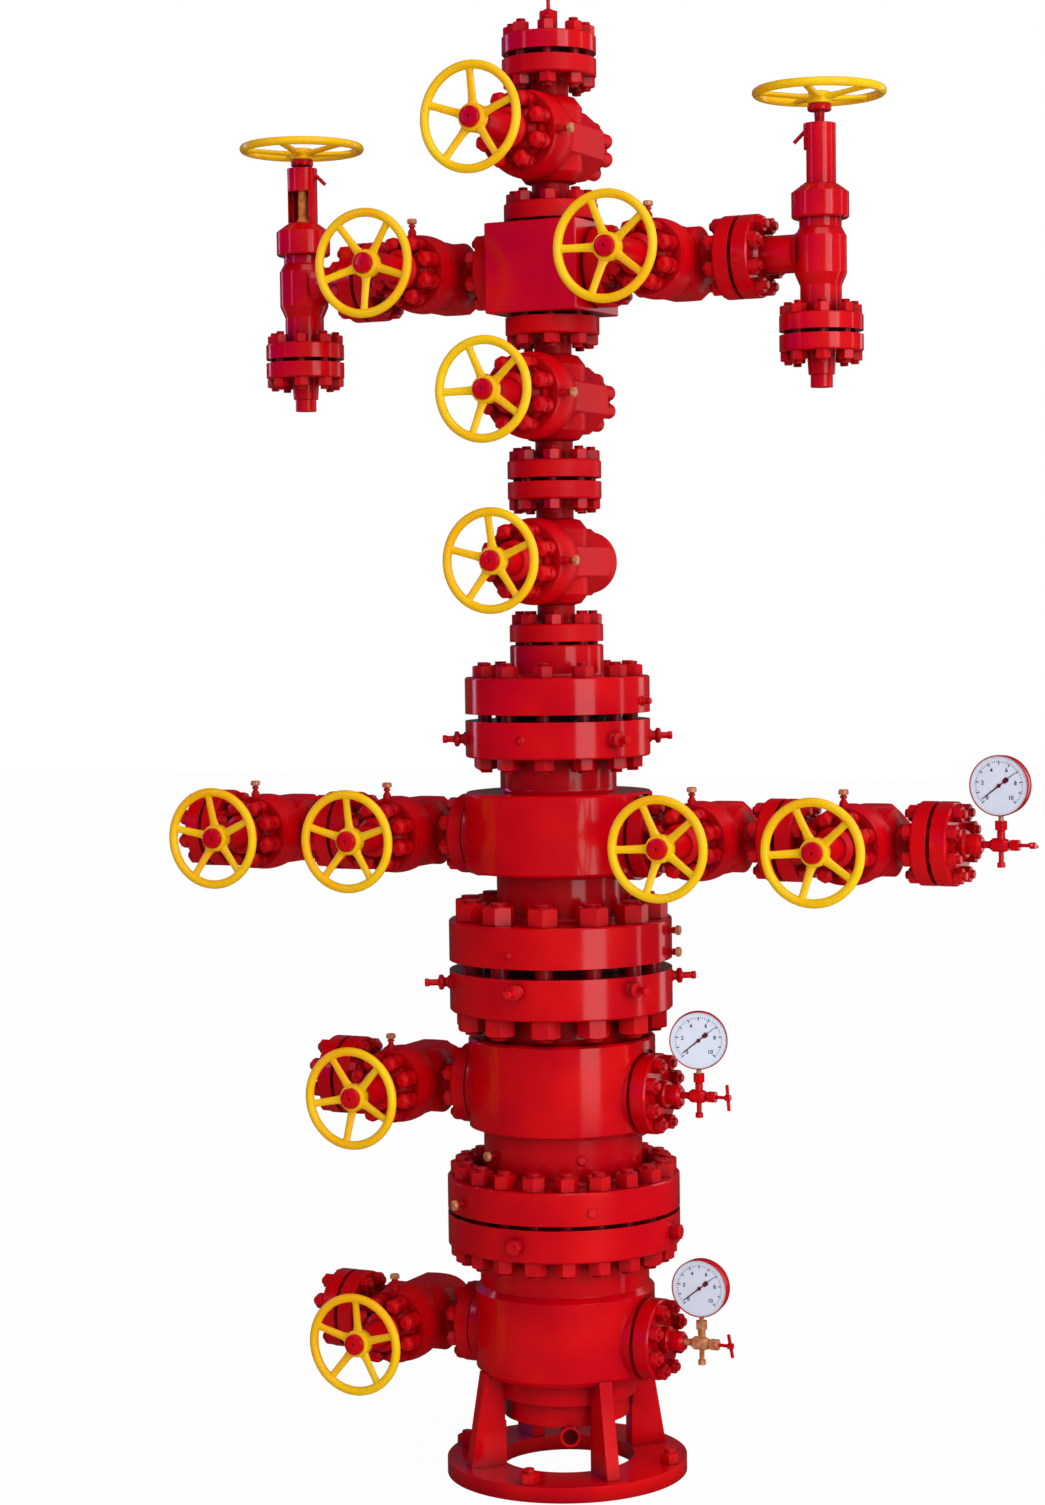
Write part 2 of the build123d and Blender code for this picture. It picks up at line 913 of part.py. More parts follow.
# Choke bonnets: the collar nut, the windowed yoke above it and the stem's lock lever
collar_bottom = wing_height + choke_body_above + choke_groove_length
collar_top = collar_bottom + choke_collar_length
yoke_top = collar_top + choke_yoke_length
window_top = collar_top + choke_window_sill + choke_window_height
stem_hole = choke_stem_radius + running_clearance
tip_low = collar_top - choke_tip_length
with BuildPart() as choke_bonnets:
    for number, side in enumerate(choke_sides):
        turn(
            upright_plane(side * choke_place),
            [
                (0, collar_bottom),
                (choke_collar_radius - edge_chamfer, collar_bottom),
                (choke_collar_radius, collar_bottom + edge_chamfer),
                (choke_collar_radius, collar_top - choke_collar_cone_length),
                (choke_collar_top_radius, collar_top),
                (choke_yoke_radius, collar_top),
                (choke_yoke_radius, yoke_top - choke_yoke_rim),
                (choke_yoke_radius + running_clearance, yoke_top - choke_yoke_rim),
                (choke_yoke_radius + running_clearance, yoke_top),
                (stem_hole, yoke_top),
                (stem_hole, window_top),
                (choke_yoke_bore, window_top),
                (choke_yoke_bore, tip_low - choke_travel),
                (0, tip_low - choke_travel),
            ],
        )
        angle = radians(choke_window_angles[number])
        window_plane = Plane(
            origin=(side * choke_place, 0, window_top - choke_window_height / 2),
            x_dir=up,
            z_dir=(cos(angle), sin(angle), 0),
        )
        with BuildSketch(window_plane) as window:
            Rectangle(choke_window_height, choke_window_width)
        extrude(window.sketch, amount=choke_yoke_radius + cut_overrun, mode=Mode.SUBTRACT)
        angle = radians(choke_lever_angles[number])
        droop = radians(choke_lever_droop)
        lever = Plane(
            origin=(
                side * choke_place + choke_yoke_bore * cos(angle),
                choke_yoke_bore * sin(angle),
                yoke_top - choke_yoke_rim / 2,
            ),
            z_dir=(cos(angle) * cos(droop), sin(angle) * cos(droop), -sin(droop)),
        )
        rod(lever, choke_lever_radius, 0, choke_lever_length)
save(choke_bonnets.part, "choke_bonnets")

# Choke stems, the left one screwed down and the right one screwed up
choke_lifts = (0.0, choke_travel)
choke_names = ("left_choke", "right_choke")
stem_nut_bottom = yoke_top + hub_gap
choke_hub_bottom = stem_nut_bottom + choke_stem_nut_length
for side, lift, name in zip(choke_sides, choke_lifts, choke_names):
    with BuildPart() as choke_stem:
        turn(
            upright_plane(side * choke_place, lift),
            [
                (0, tip_low),
                (choke_stem_radius, tip_low),
                (choke_tip_radius, tip_low + choke_tip_length / 2),
                (choke_tip_radius, tip_low + choke_tip_length),
                (choke_stem_radius, tip_low + choke_tip_length + choke_tip_length / 2),
                (choke_stem_radius, stem_nut_bottom),
                (choke_stem_nut_radius, stem_nut_bottom),
                (choke_stem_nut_radius, choke_hub_bottom - running_clearance),
                (choke_stem_radius, choke_hub_bottom - running_clearance),
                (choke_stem_radius, choke_hub_bottom + choke_wheel_hub_length),
                (0, choke_hub_bottom + choke_wheel_hub_length),
            ],
        )
    save(choke_stem.part, f"{name}_stem")

# End flanges below the chokes, with their nipples
end_flange_top = wing_height - choke_outlet_drop - side_gap
nipple_shoulder = side_flange_thickness + choke_nipple_length
nipple_end = nipple_shoulder + choke_nipple_tip_length
with BuildPart() as choke_end_flanges:
    for side in choke_sides:
        turn(
            Plane(origin=(side * choke_place, 0, end_flange_top), z_dir=(0, 0, -1)),
            [
                (0, 0),
                *side_flange(0),
                (choke_nipple_radius, side_flange_thickness),
                (choke_nipple_radius - edge_chamfer, nipple_shoulder),
                (choke_nipple_tip_radius, nipple_shoulder),
                (choke_nipple_tip_radius, nipple_end),
                (0, nipple_end),
            ],
        )
save(choke_end_flanges.part, "choke_end_flanges")

# Blind flanges that close the left arms
blind_places = (
    (outer_valve_place, tubing_outlet_height),
    (outlet_valve_place, spool_outlet_height),
    (outlet_valve_place, head_outlet_height),
)
with BuildPart() as blind_flanges:
    for place, height in blind_places:
        turn(
            arm_plane(-1, place + arm_half + side_gap, height),
            [(0, 0), *side_flange(0), (0, side_flange_thickness)],
        )
save(blind_flanges.part, "blind_flanges")

# Gauge flanges on the right
gauge_places = (
    (outer_valve_place + arm_half + side_gap, tubing_outlet_height),
    (outlet_face + outlet_gap, spool_outlet_height),
    (outlet_face + outlet_gap, head_outlet_height),
)
gauge_boss_start = side_flange_thickness + gauge_hub_length
gauge_hub_end = gauge_boss_start + gauge_boss_length
with BuildPart() as gauge_flanges:
    for place, height in gauge_places:
        turn(
            arm_plane(1, place, height),
            [
                (0, 0),
                *side_flange(0),
                (gauge_hub_radius, side_flange_thickness),
                (gauge_hub_radius, gauge_boss_start - edge_chamfer),
                (gauge_hub_radius - edge_chamfer, gauge_boss_start),
                (gauge_boss_radius, gauge_boss_start),
                (gauge_boss_radius, gauge_hub_end - gauge_boss_chamfer),
                (gauge_boss_radius - gauge_boss_chamfer, gauge_hub_end),
                (0, gauge_hub_end),
            ],
        )
save(gauge_flanges.part, "gauge_flanges")

# Needle valves: pipe, body, stem nut, the branch up to the gauge and the bleed plug below
needle_body_start = gauge_hub_end + needle_pipe_length
needle_body_end = needle_body_start + needle_body_length
needle_centre = needle_body_start + needle_body_length / 2
needle_nut_start = needle_body_end + needle_groove_length
needle_end = needle_nut_start + needle_nut_length
gauge_nut_start = needle_body_radius + needle_branch_length
with BuildPart() as needle_valves:
    for place, height in gauge_places:
        pipe_plane = arm_plane(1, place, height)
        turn(
            pipe_plane,
            [
                (0, gauge_hub_end),
                (needle_pipe_radius, gauge_hub_end),
                (needle_pipe_radius, needle_body_start - needle_cone_length),
                (needle_body_radius, needle_body_start),
                (needle_body_radius, needle_body_end - needle_cone_length),
                (needle_body_radius - edge_chamfer, needle_body_end),
                (needle_groove_radius, needle_body_end),
                (needle_groove_radius, needle_nut_start),
                (0, needle_nut_start),
            ],
        )
        hex_bar(pipe_plane, needle_nut_radius, needle_nut_start, needle_end)
        rod(
            pipe_plane,
            needle_stem_radius + running_clearance,
            needle_end - needle_nut_length / 2,
            needle_end + cut_overrun,
            Mode.SUBTRACT,
        )
        branch = upright_plane(place + needle_centre, height)
        rod(branch, needle_branch_radius, 0, gauge_nut_start)
        hex_bar(branch, gauge_nut_radius, gauge_nut_start, gauge_nut_start + gauge_nut_length)
        foot = Plane(origin=branch.origin, z_dir=(0, 0, -1))
        plug_start = needle_body_radius + needle_foot_length
        rod(foot, needle_foot_radius, 0, plug_start)
        rod(foot, needle_plug_radius, plug_start, plug_start + needle_plug_length)
save(needle_valves.part, "needle_valves")

# Pressure gauges
with BuildPart() as pressure_gauges:
    for (place, height), toward_right in zip(gauge_places, gauge_turns):
        x = place + needle_centre
        angle = radians(toward_right)
        turn(
            Plane(
                origin=(x, 0, height + gauge_rise), z_dir=(sin(angle), -cos(angle), 0)
            ).offset(-gauge_depth / 2),
            [
                (0, 0),
                (gauge_radius - edge_chamfer, 0),
                (gauge_radius, edge_chamfer),
                (gauge_radius, gauge_depth),
                (0, gauge_depth),
            ],
        )
        rod(
            upright_plane(x, height),
            gauge_socket_radius,
            gauge_nut_start + gauge_nut_length,
            gauge_rise,
        )
save(pressure_gauges.part, "pressure_gauges")

# Tee handles of the needle valves, each bar left at its own tilt from upright
tee_names = ("tubing_needle_handle", "spool_needle_handle", "head_needle_handle")
for (place, height), tilt, name in zip(gauge_places, tee_bar_tilts, tee_names):
    with BuildPart() as tee_handle:
        plane = arm_plane(1, place + needle_end, height)
        tee_hub_end = needle_stem_length + tee_hub_length
        rod(plane, needle_stem_radius, cut_overrun - needle_nut_length / 2, needle_stem_length)
        rod(plane, tee_hub_radius, needle_stem_length, tee_hub_end)
        bar = Plane(
            origin=(place + needle_end + needle_stem_length + tee_hub_length / 2, 0, height),
            x_dir=along,
            z_dir=(0, -sin(radians(tilt)), cos(radians(tilt))),
        )
        rod(bar, tee_bar_radius, -tee_bar_length / 2, tee_bar_length / 2)
    save(tee_handle.part, name)


def hand_wheel(plane, radius, rim, dish, hub, hub_length, first_spoke):
    """A five-spoke wheel about the plane's normal, its rim in the plane and its hub behind it."""
    rim_centre = radius - rim
    with BuildSketch(half_plane(plane)) as rim_section:
        with Locations((rim_centre, 0)):
            Circle(rim)
    revolve(rim_section.sketch, axis=Axis(plane.origin, plane.z_dir))
    rod(plane, hub, -dish - hub_length / 2, -dish + hub_length / 2)
    for number in range(wheel_spoke_count):
        angle = radians(first_spoke + number * 360 / wheel_spoke_count)
        out = plane.x_dir * cos(angle) + plane.y_dir * sin(angle)
        inner = plane.origin + out * (hub / 2) - plane.z_dir * dish
        outer = plane.origin + out * rim_centre
        across = plane.z_dir.cross(out)
        with BuildSketch(Plane(origin=inner, x_dir=across, z_dir=outer - inner)) as hub_end:
            Ellipse(wheel_spoke_hub_half_width, wheel_spoke_half_thickness)
        with BuildSketch(Plane(origin=outer, x_dir=across, z_dir=outer - inner)) as rim_end:
            Ellipse(wheel_spoke_rim_half_width, wheel_spoke_half_thickness)
        loft([hub_end.sketch, rim_end.sketch])


# Where one spoke of each wheel stands, in degrees from +X, as the valves were left
spoke_angles = {
    "lower_master": 93.0,
    "upper_master": 110.0,
    "swab": 90.0,
    "left_wing": 270.0,
    "right_wing": 108.0,
    "left_inner": 90.0,
    "left_outer": 96.0,
    "right_inner": 110.0,
    "right_outer": 112.0,
    "casing_spool": 118.0,
    "casing_head": 88.0,
}

# Hand wheels of the gate valves, each with its stem behind and its nut in front
hub_front = wheel_hub_length / 2 - wheel_dish
nut_front = hub_front + wheel_nut_length
stem_back = hub_front - wheel_hub_length - hub_gap - stem_fit_depth + cut_overrun
for name, valve in valves.items():
    with BuildPart() as wheel:
        plane = front_plane(valve["x"], valve["height"], valve["reach"])
        hand_wheel(
            plane,
            valve["wheel"],
            wheel_rim_radius,
            wheel_dish,
            wheel_hub_radius,
            wheel_hub_length,
            spoke_angles[name],
        )
        rod(plane, stem_radius, stem_back, 0)
        turn(
            plane,
            [
                (0, hub_front),
                (wheel_nut_radius, hub_front),
                (wheel_nut_radius, nut_front - edge_chamfer),
                (wheel_nut_radius - edge_chamfer, nut_front),
                (0, nut_front),
            ],
        )
    save(wheel.part, f"{name}_wheel")

# Hand wheels of the chokes
choke_rim_rise = choke_hub_bottom + choke_wheel_hub_length / 2 + choke_wheel_dish
for side, lift, name in zip(choke_sides, choke_lifts, choke_names):
    with BuildPart() as wheel:
        plane = upright_plane(side * choke_place, choke_rim_rise + lift)
        hand_wheel(
            plane,
            choke_wheel_radius,
            choke_wheel_rim_radius,
            choke_wheel_dish,
            choke_wheel_hub_radius,
            choke_wheel_hub_length,
            choke_spoke_angle,
        )
        rod(
            plane,
            stem_hole,
            -choke_wheel_dish - choke_wheel_hub_length,
            choke_wheel_hub_length,
            Mode.SUBTRACT,
        )
    save(wheel.part, f"{name}_wheel")


def ring(plane, radius, length):
    """A metal seal ring that fills the gap between two raised faces."""
    rod(plane, radius, 0, length)
    rod(plane, radius - 2 * ring_land, -cut_overrun, length + cut_overrun, Mode.SUBTRACT)


# Seal rings in the gaps of the flanges
stack_gaps = (
    (head_top, seal_13_radius, flange_13_gap),
    (spool_top, seal_11_radius, flange_11_gap),
    (tubing_top, seal_9_radius, flange_9_gap),
    (adapter_top, main_seal_radius, main_gap),
    (upper_master_bottom - main_gap, main_seal_radius, main_gap),
    (block_bottom - main_gap, main_seal_radius, main_gap),
    (block_top, main_seal_radius, main_gap),
    (cap_bottom - cap_gap, main_seal_radius, cap_gap),
)
arm_gaps = (
    (block_width / 2, wing_height, side_gap),
    (wing_valve_place + arm_half, wing_height, side_gap),
    (outlet_face, tubing_outlet_height, outlet_gap),
    (outlet_valve_place + arm_half, tubing_outlet_height, side_gap),
    (outer_valve_place + arm_half, tubing_outlet_height, side_gap),
    (outlet_face, spool_outlet_height, outlet_gap),
    (outlet_face, head_outlet_height, outlet_gap),
)
side_ring_radius = side_seal_radius - ring_land
with BuildPart() as ring_gaskets:
    for height, seal, gap in stack_gaps:
        ring(stack_plane(height), seal - ring_land, gap)
    for side in choke_sides:
        for place, height, gap in arm_gaps:
            ring(arm_plane(side, place, height), side_ring_radius, gap)
        ring(upright_plane(side * choke_place, end_flange_top), side_ring_radius, side_gap)
    for height in (spool_outlet_height, head_outlet_height):
        ring(arm_plane(-1, outlet_valve_place + arm_half, height), side_ring_radius, side_gap)
save(ring_gaskets.part, "ring_gaskets")


def lock_screw(angle, radius, height, length):
    """A screw with its hexagon gland, running out of the side of a flange."""
    plane = radial_plane(angle, radius, height)
    hex_bar(plane, gland_radius, -weld_land, gland_length)
    rod(plane, screw_radius, gland_length, gland_length + length)


# Rows of screws: flange radius, height, number, first angle and length
nine_screw_height = tubing_top - flange_9_thickness / 2
eleven_screw_height = spool_top - flange_11_thickness * 0.3
thirteen_screw_height = head_top - flange_13_thickness / 2
screw_rows = (
    (flange_9_radius, nine_screw_height, lock_screw_count, -28.0, screw_length),
    (flange_11_radius, eleven_screw_height, lock_screw_count, -27.0, screw_length),
    (flange_13_radius, thirteen_screw_height, test_screw_count, -88.0, test_screw_length),
)
# Plugged ports: radius of the piece, angle, height, and the port's own radius and length
eleven_port_height = tubing_bottom + flange_11_thickness / 3
nine_port_height = adapter_bottom + flange_9_thickness / 3
spool_port_height = spool_bottom + flange_13_thickness + spool_neck_length / 2
thirteen_port_height = spool_bottom + flange_13_thickness * 0.4
ports = (
    (spool_neck_radius, -51.5, spool_port_height, port_radius, port_length),
    (flange_13_radius, -51.0, thirteen_port_height, port_radius, port_length),
    (flange_11_radius, -92.0, eleven_port_height, test_port_radius, port_length),
    (flange_9_radius, 0.0, nine_port_height, test_port_radius, test_port_length),
)
with BuildPart() as lockdown_screws:
    for radius, height, count, first, length in screw_rows:
        for number in range(count):
            lock_screw(first + number * 360 / count, radius, height, length)
    for radius, angle, height, own_radius, own_length in ports:
        rod(radial_plane(angle, radius, height), own_radius, -weld_land, own_length)
    for bottom, top, radius in (
        (head_top - flange_13_thickness, head_top, flange_13_radius),
        (spool_bottom, spool_bottom + flange_13_thickness, flange_13_radius),
        (spool_bottom + flange_13_thickness, spool_barrel_bottom, spool_neck_radius),
        (spool_top - flange_11_thickness, spool_top, flange_11_radius),
        (tubing_bottom, tubing_bottom + flange_11_thickness, flange_11_radius),
        (tubing_top - flange_9_thickness, tubing_top, flange_9_radius),
        (adapter_bottom, adapter_bottom + flange_9_thickness, flange_9_radius),
    ):
        rod(stack_plane(), radius + running_clearance, bottom, top, Mode.SUBTRACT)
save(lockdown_screws.part, "lockdown_screws")


def grease_fitting(plane, start):
    """A brass grease fitting: pin, hexagon and cap, along the plane's normal."""
    hex_start = start + fitting_pin_length
    cap_start = hex_start + fitting_hex_length
    rod(plane, fitting_pin_radius, start, hex_start)
    hex_bar(plane, fitting_hex_radius, hex_start, cap_start)
    rod(plane, fitting_cap_radius, cap_start, cap_start + fitting_cap_length)


# Fittings on the heads: radius of the piece, angle and height
eleven_fitting_height = tubing_bottom + flange_11_thickness / 3
eleven_fitting_pitch = 56.0
head_fittings = (
    (spool_neck_radius, -122.0, spool_port_height),
    (flange_13_radius, -123.0, thirteen_port_height),
    (flange_11_radius, 10.0, eleven_fitting_height - eleven_fitting_pitch / 4),
    (flange_11_radius, 10.0, eleven_fitting_height + eleven_fitting_pitch * 3 / 4),
)
with BuildPart() as grease_fittings:
    for valve in valves.values():
        kind = valve["kind"]
        out = along if valve["flow"] == up else up
        plane = Plane(
            origin=(valve["x"], fitting_boss_setback - kind.front, valve["height"]), z_dir=out
        )
        grease_fitting(plane, kind.lip + fitting_boss_height)
    for radius, angle, height in head_fittings:
        grease_fitting(radial_plane(angle, radius, height), running_clearance)
save(grease_fittings.part, "grease_fittings")
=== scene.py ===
import json
from math import cos, pi, radians, sin, tan, tau

import bmesh
import bpy
from mathutils import Matrix, Vector


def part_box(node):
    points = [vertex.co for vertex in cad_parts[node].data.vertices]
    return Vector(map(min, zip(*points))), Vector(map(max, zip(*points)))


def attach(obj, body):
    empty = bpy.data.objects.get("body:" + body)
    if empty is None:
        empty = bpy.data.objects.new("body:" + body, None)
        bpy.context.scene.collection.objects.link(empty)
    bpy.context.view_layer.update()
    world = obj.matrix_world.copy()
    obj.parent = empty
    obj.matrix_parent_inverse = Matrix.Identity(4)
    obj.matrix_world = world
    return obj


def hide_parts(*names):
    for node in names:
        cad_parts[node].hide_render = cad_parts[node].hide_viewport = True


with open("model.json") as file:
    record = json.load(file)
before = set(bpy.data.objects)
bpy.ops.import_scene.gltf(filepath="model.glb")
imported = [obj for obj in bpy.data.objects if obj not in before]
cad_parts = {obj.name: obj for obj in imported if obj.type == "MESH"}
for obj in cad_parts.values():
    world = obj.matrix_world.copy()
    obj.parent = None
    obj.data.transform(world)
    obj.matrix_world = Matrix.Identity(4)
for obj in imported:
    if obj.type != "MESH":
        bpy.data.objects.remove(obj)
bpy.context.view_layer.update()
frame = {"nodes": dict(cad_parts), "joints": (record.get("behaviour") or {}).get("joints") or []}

mm = 0.001
up = (0, 0, 1)
down = (0, 0, -1)
to_the_right = (1, 0, 0)
toward_viewer = (0, -1, 0)


def spot(x, y, z):
    """A place given in millimetres."""
    return Vector((x, y, z)) * mm


def bottom(node):
    """The height of a node's lowest point, in millimetres."""
    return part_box(node)[0].z / mm


def top(node):
    """The height of a node's highest point, in millimetres."""
    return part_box(node)[1].z / mm


def wheel_places(axis):
    """Name and place, in millimetres, of each hand wheel that turns about one axis."""
    return {
        joint["child"].removesuffix("_wheel"): [along / mm for along in joint["pos_m"]]
        for joint in frame["joints"]
        if joint["child"].endswith("_wheel") and joint["axis"][axis]
    }


# The wheels of gate valves turn about Y, and those of chokes about Z
gate_valves = wheel_places(1)
chokes = wheel_places(2)
main_valves = ("lower_master", "upper_master", "swab")
wing_height = gate_valves["left_wing"][2]
tubing_height = gate_valves["left_inner"][2]
spool_height = gate_valves["casing_spool"][2]
head_height = gate_valves["casing_head"][2]


# Colours


def hex_colour(code):
    """An sRGB hex colour as linear red, green, blue and alpha."""
    channels = []
    for place in (1, 3, 5):
        value = int(code[place : place + 2], 16) / 255
        linear = value / 12.92 if value <= 0.04045 else ((value + 0.055) / 1.055) ** 2.4
        channels.append(linear)
    return (*channels, 1.0)


# Materials, with the sizes of their patterns in millimetres


def add_node(tree, kind, inputs=None, **settings):
    """Adds a node with its settings. An input gets a value, or a link from another's output."""
    node = tree.nodes.new(kind)
    for name, value in settings.items():
        setattr(node, name, value)
    for name, value in (inputs or {}).items():
        if isinstance(value, bpy.types.NodeSocket):
            tree.links.new(value, node.inputs[name])
        else:
            node.inputs[name].default_value = value
    return node.outputs


def new_material(name):
    """An empty material, its node tree, and the place that its patterns read."""
    material = bpy.data.materials.new(name)
    material.use_nodes = True
    tree = material.node_tree
    tree.nodes.clear()
    return material, tree, add_node(tree, "ShaderNodeTexCoord")["Object"]


def finish_material(tree, inputs):
    """Ends a material with its shader."""
    surface = add_node(tree, "ShaderNodeBsdfPrincipled", inputs)["BSDF"]
    add_node(tree, "ShaderNodeOutputMaterial", {"Surface": surface})


def clouded(tree, place, size, detail, contrast, colours, roughness):
    """A colour and a roughness that drift between two values, in clouds of one size."""
    lumps = add_node(
        tree,
        "ShaderNodeTexNoise",
        {"Vector": place, "Scale": 1 / (size * mm), "Detail": detail},
    )["Fac"]
    clouds = add_node(
        tree,
        "ShaderNodeMapRange",
        {"Value": lumps, "From Min": contrast[0], "From Max": contrast[1]},
    )["Result"]
    deep, bright = (hex_colour(code) for code in colours)
    mixed = add_node(
        tree, "ShaderNodeMix", {"Factor": clouds, 6: deep, 7: bright}, data_type="RGBA"
    )
    rough = add_node(
        tree,
        "ShaderNodeMapRange",
        {"Value": clouds, "To Min": roughness[0], "To Max": roughness[1]},
    )
    return mixed[2], rough["Result"]


def bumped(tree, place, edge, layers):
    """The way the surface faces: rounded at its edges, then bumped by layers of grain, each
    given by its size, detail, roughness, depth and strength."""
    under = {}
    if edge:
        rounded = add_node(tree, "ShaderNodeBevel", {"Radius": edge * mm}, samples=4)
        under = {"Normal": rounded["Normal"]}
    for size, detail, rough, depth, strength in layers:
        grain = add_node(
            tree,
            "ShaderNodeTexNoise",
            {"Vector": place, "Scale": 1 / (size * mm), "Detail": detail, "Roughness": rough},
        )
        relief = {"Height": grain["Fac"], "Distance": depth * mm, "Strength": strength}
        under = {"Normal": add_node(tree, "ShaderNodeBump", relief | under)["Normal"]}
    return under["Normal"]


def dark_in_corners(tree, colour, darkest):
    """The colour, darkened down to a share of itself in corners: painted shade where other surfaces
    stand near.
    """
    corner_size = 50.0
    open_air = add_node(
        tree, "ShaderNodeAmbientOcclusion", {"Distance": corner_size * mm}, samples=4
    )
    shade = add_node(
        tree,
        "ShaderNodeMapRange",
        {"Value": open_air["AO"], "From Min": 0.25, "From Max": 0.95, "To Min": darkest},
    )
    scaled = add_node(
        tree, "ShaderNodeVectorMath", {0: colour, "Scale": shade["Result"]}, operation="SCALE"
    )
    return scaled["Vector"]


cloud_contrast = (0.35, 0.65)
paint_clouds = 190.0
tarnish_clouds = 12.0
turned_edge = 0.8
# Orange peel of sprayed paint, drawn about four times as coarse as the real one so that it shows
orange_peel = (9.0, 1.0, 0.5, 0.03, 0.3)
# Marks of the lathe's tool, drawn about ten times as coarse as the real ones so that they show
tool_marks = (3.0, 1.0, 0.5, 0.1, 0.4)


def enamel(name, colours, grain, depth, edge, roughness, coat=0.25, shine=0.42, corners=0.35):
    """Enamel sprayed over metal: soft clouds of colour, rounded paint edges, the unevenness of
    the metal under it, a faint orange peel, and painted shade in corners, where corners is the
    share of the colour that is left there."""
    material, tree, place = new_material(name)
    spread = (roughness - 0.03, roughness + 0.04)
    colour, rough = clouded(tree, place, paint_clouds, 2.0, cloud_contrast, colours, spread)
    unevenness = (grain, 3.0, 0.6, depth, 0.5)
    finish_material(
        tree,
        {
            # Painted shade: the colour is darkened in corners
            "Base Color": dark_in_corners(tree, colour, corners),
            "Roughness": rough,
            "Normal": bumped(tree, place, edge, (unevenness, orange_peel)),
            "IOR": 1.5,
            "Specular IOR Level": shine,
            "Coat Weight": coat,
            "Coat Roughness": 0.06,
            "Coat IOR": 1.5,
        },
    )
    return material


def turned_metal(name, colours, roughness, metallic):
    """Metal turned on a lathe: fine tool marks and a soft tarnish."""
    material, tree, place = new_material(name)
    spread = (roughness, roughness + 0.12)
    colour, rough = clouded(tree, place, tarnish_clouds, 3.0, cloud_contrast, colours, spread)
    finish_material(
        tree,
        {
            "Base Color": colour,
            "Roughness": rough,
            "Normal": bumped(tree, place, turned_edge, (tool_marks,)),
            "Metallic": metallic,
        },
    )
    return material


def dial_finish(name, colours, cloud_size, roughness, inputs):
    """A smooth thin skin of the dials, with faint clouds of colour."""
    material, tree, place = new_material(name)
    colour, rough = clouded(tree, place, cloud_size, 2.0, (0.0, 1.0), colours, roughness)
    finish_material(tree, {"Base Color": colour, "Roughness": rough} | inputs)
    return material


# Red epoxy enamel, sprayed over forged steel: saturated, wet-looking, with a faint orange peel
red_enamel = enamel(
    "red_enamel_on_steel",
    ("#bf0013", "#d50007"),
    grain=60.0,
    depth=0.4,
    edge=3.0,
    roughness=0.15,
)
# The same enamel over the cast valve bodies: deeper and softer in its shine
cast_red = enamel(
    "red_enamel_on_castings",
    ("#bf0011", "#d30009"),
    grain=50.0,
    depth=0.5,
    edge=4.0,
    roughness=0.34,
    coat=0.0,
    shine=0.12,
)
# The enamel on nuts, studs and screws: their small edges stay crisp
fastener_red = enamel(
    "red_enamel_on_fasteners",
    ("#bf0012", "#d50008"),
    grain=30.0,
    depth=0.2,
    edge=1.0,
    roughness=0.26,
    coat=0.05,
    shine=0.3,
)
# Yellow enamel over cast steel: thick, glossy and even
yellow_enamel = enamel(
    "yellow_enamel_on_castings",
    ("#ffbb00", "#ffcf00"),
    grain=30.0,
    depth=0.1,
    edge=0.0,
    roughness=0.2,
    coat=0.35,
    # The painted shade in its corners is lighter than on the reds
    corners=0.85,
)
# Dark red lacquer of the gauges' pointers
pointer_red = enamel(
    "pointer_lacquer",
    ("#5a0d16", "#6e121c"),
    grain=10.0,
    depth=0.05,
    edge=0.2,
    roughness=0.3,
)
# Turned brass, a little tarnished: warm and soft in its shine
brass = turned_metal("turned_brass", ("#cd7440", "#f0b080"), 0.3, 0.4)
# Bronze of the choke stems, a stronger orange than the brass
bronze = turned_metal("machined_bronze", ("#e07a2c", "#ffab5c"), 0.3, 0.2)
# Soft iron of the seal rings, deep in the flanges' gaps: its near-black colour is painted shade of
# the gaps
seal_iron_painted_dark = turned_metal("seal_iron_in_painted_shade", ("#241616", "#342223"), 0.5, 0.5)
# Enamelled dial plate: a cool white under the gauge's window
dial_white = dial_finish(
    "enamelled_dial_plate",
    ("#dbe7fa", "#e7f0ff"),
    30.0,
    (0.35, 0.45),
    {"IOR": 1.5, "Coat Weight": 1.0, "Coat Roughness": 0.03},
)
# Printing ink on the dial: flat and nearly black
dial_ink = dial_finish(
    "dial_printing_ink", ("#2a1a1c", "#3a2426"), 4.0, (0.45, 0.6), {"IOR": 1.45}
)

cast_nodes = (
    "gate_valve_bonnets",
    "tubing_head_valves",
    "casing_valves",
    "wing_valves",
    "lower_master_valve",
    "upper_master_valve",
    "swab_valve",
)
for name, node in frame["nodes"].items():
    finish = cast_red if name in cast_nodes else red_enamel
    if name == "ring_gaskets":
        # The seal rings take the near-black iron, whose colour is painted shade of the gaps
        finish = seal_iron_painted_dark
    elif name.endswith("_wheel"):
        finish = yellow_enamel
    node.data.materials.clear()
    node.data.materials.append(finish)


# Shapes in mesh code


def mesh_from(bm, name, smooth_angle=35.0):
    """A mesh from a bmesh, with outward faces and sharp edges above an angle."""
    bmesh.ops.remove_doubles(bm, verts=bm.verts, dist=0.001 * mm)
    bmesh.ops.recalc_face_normals(bm, faces=bm.faces)
    mesh = bpy.data.meshes.new(name)
    bm.to_mesh(mesh)
    bm.free()
    mesh.polygons.foreach_set("use_smooth", [True] * len(mesh.polygons))
    mesh.set_sharp_from_angle(angle=radians(smooth_angle))
    return mesh


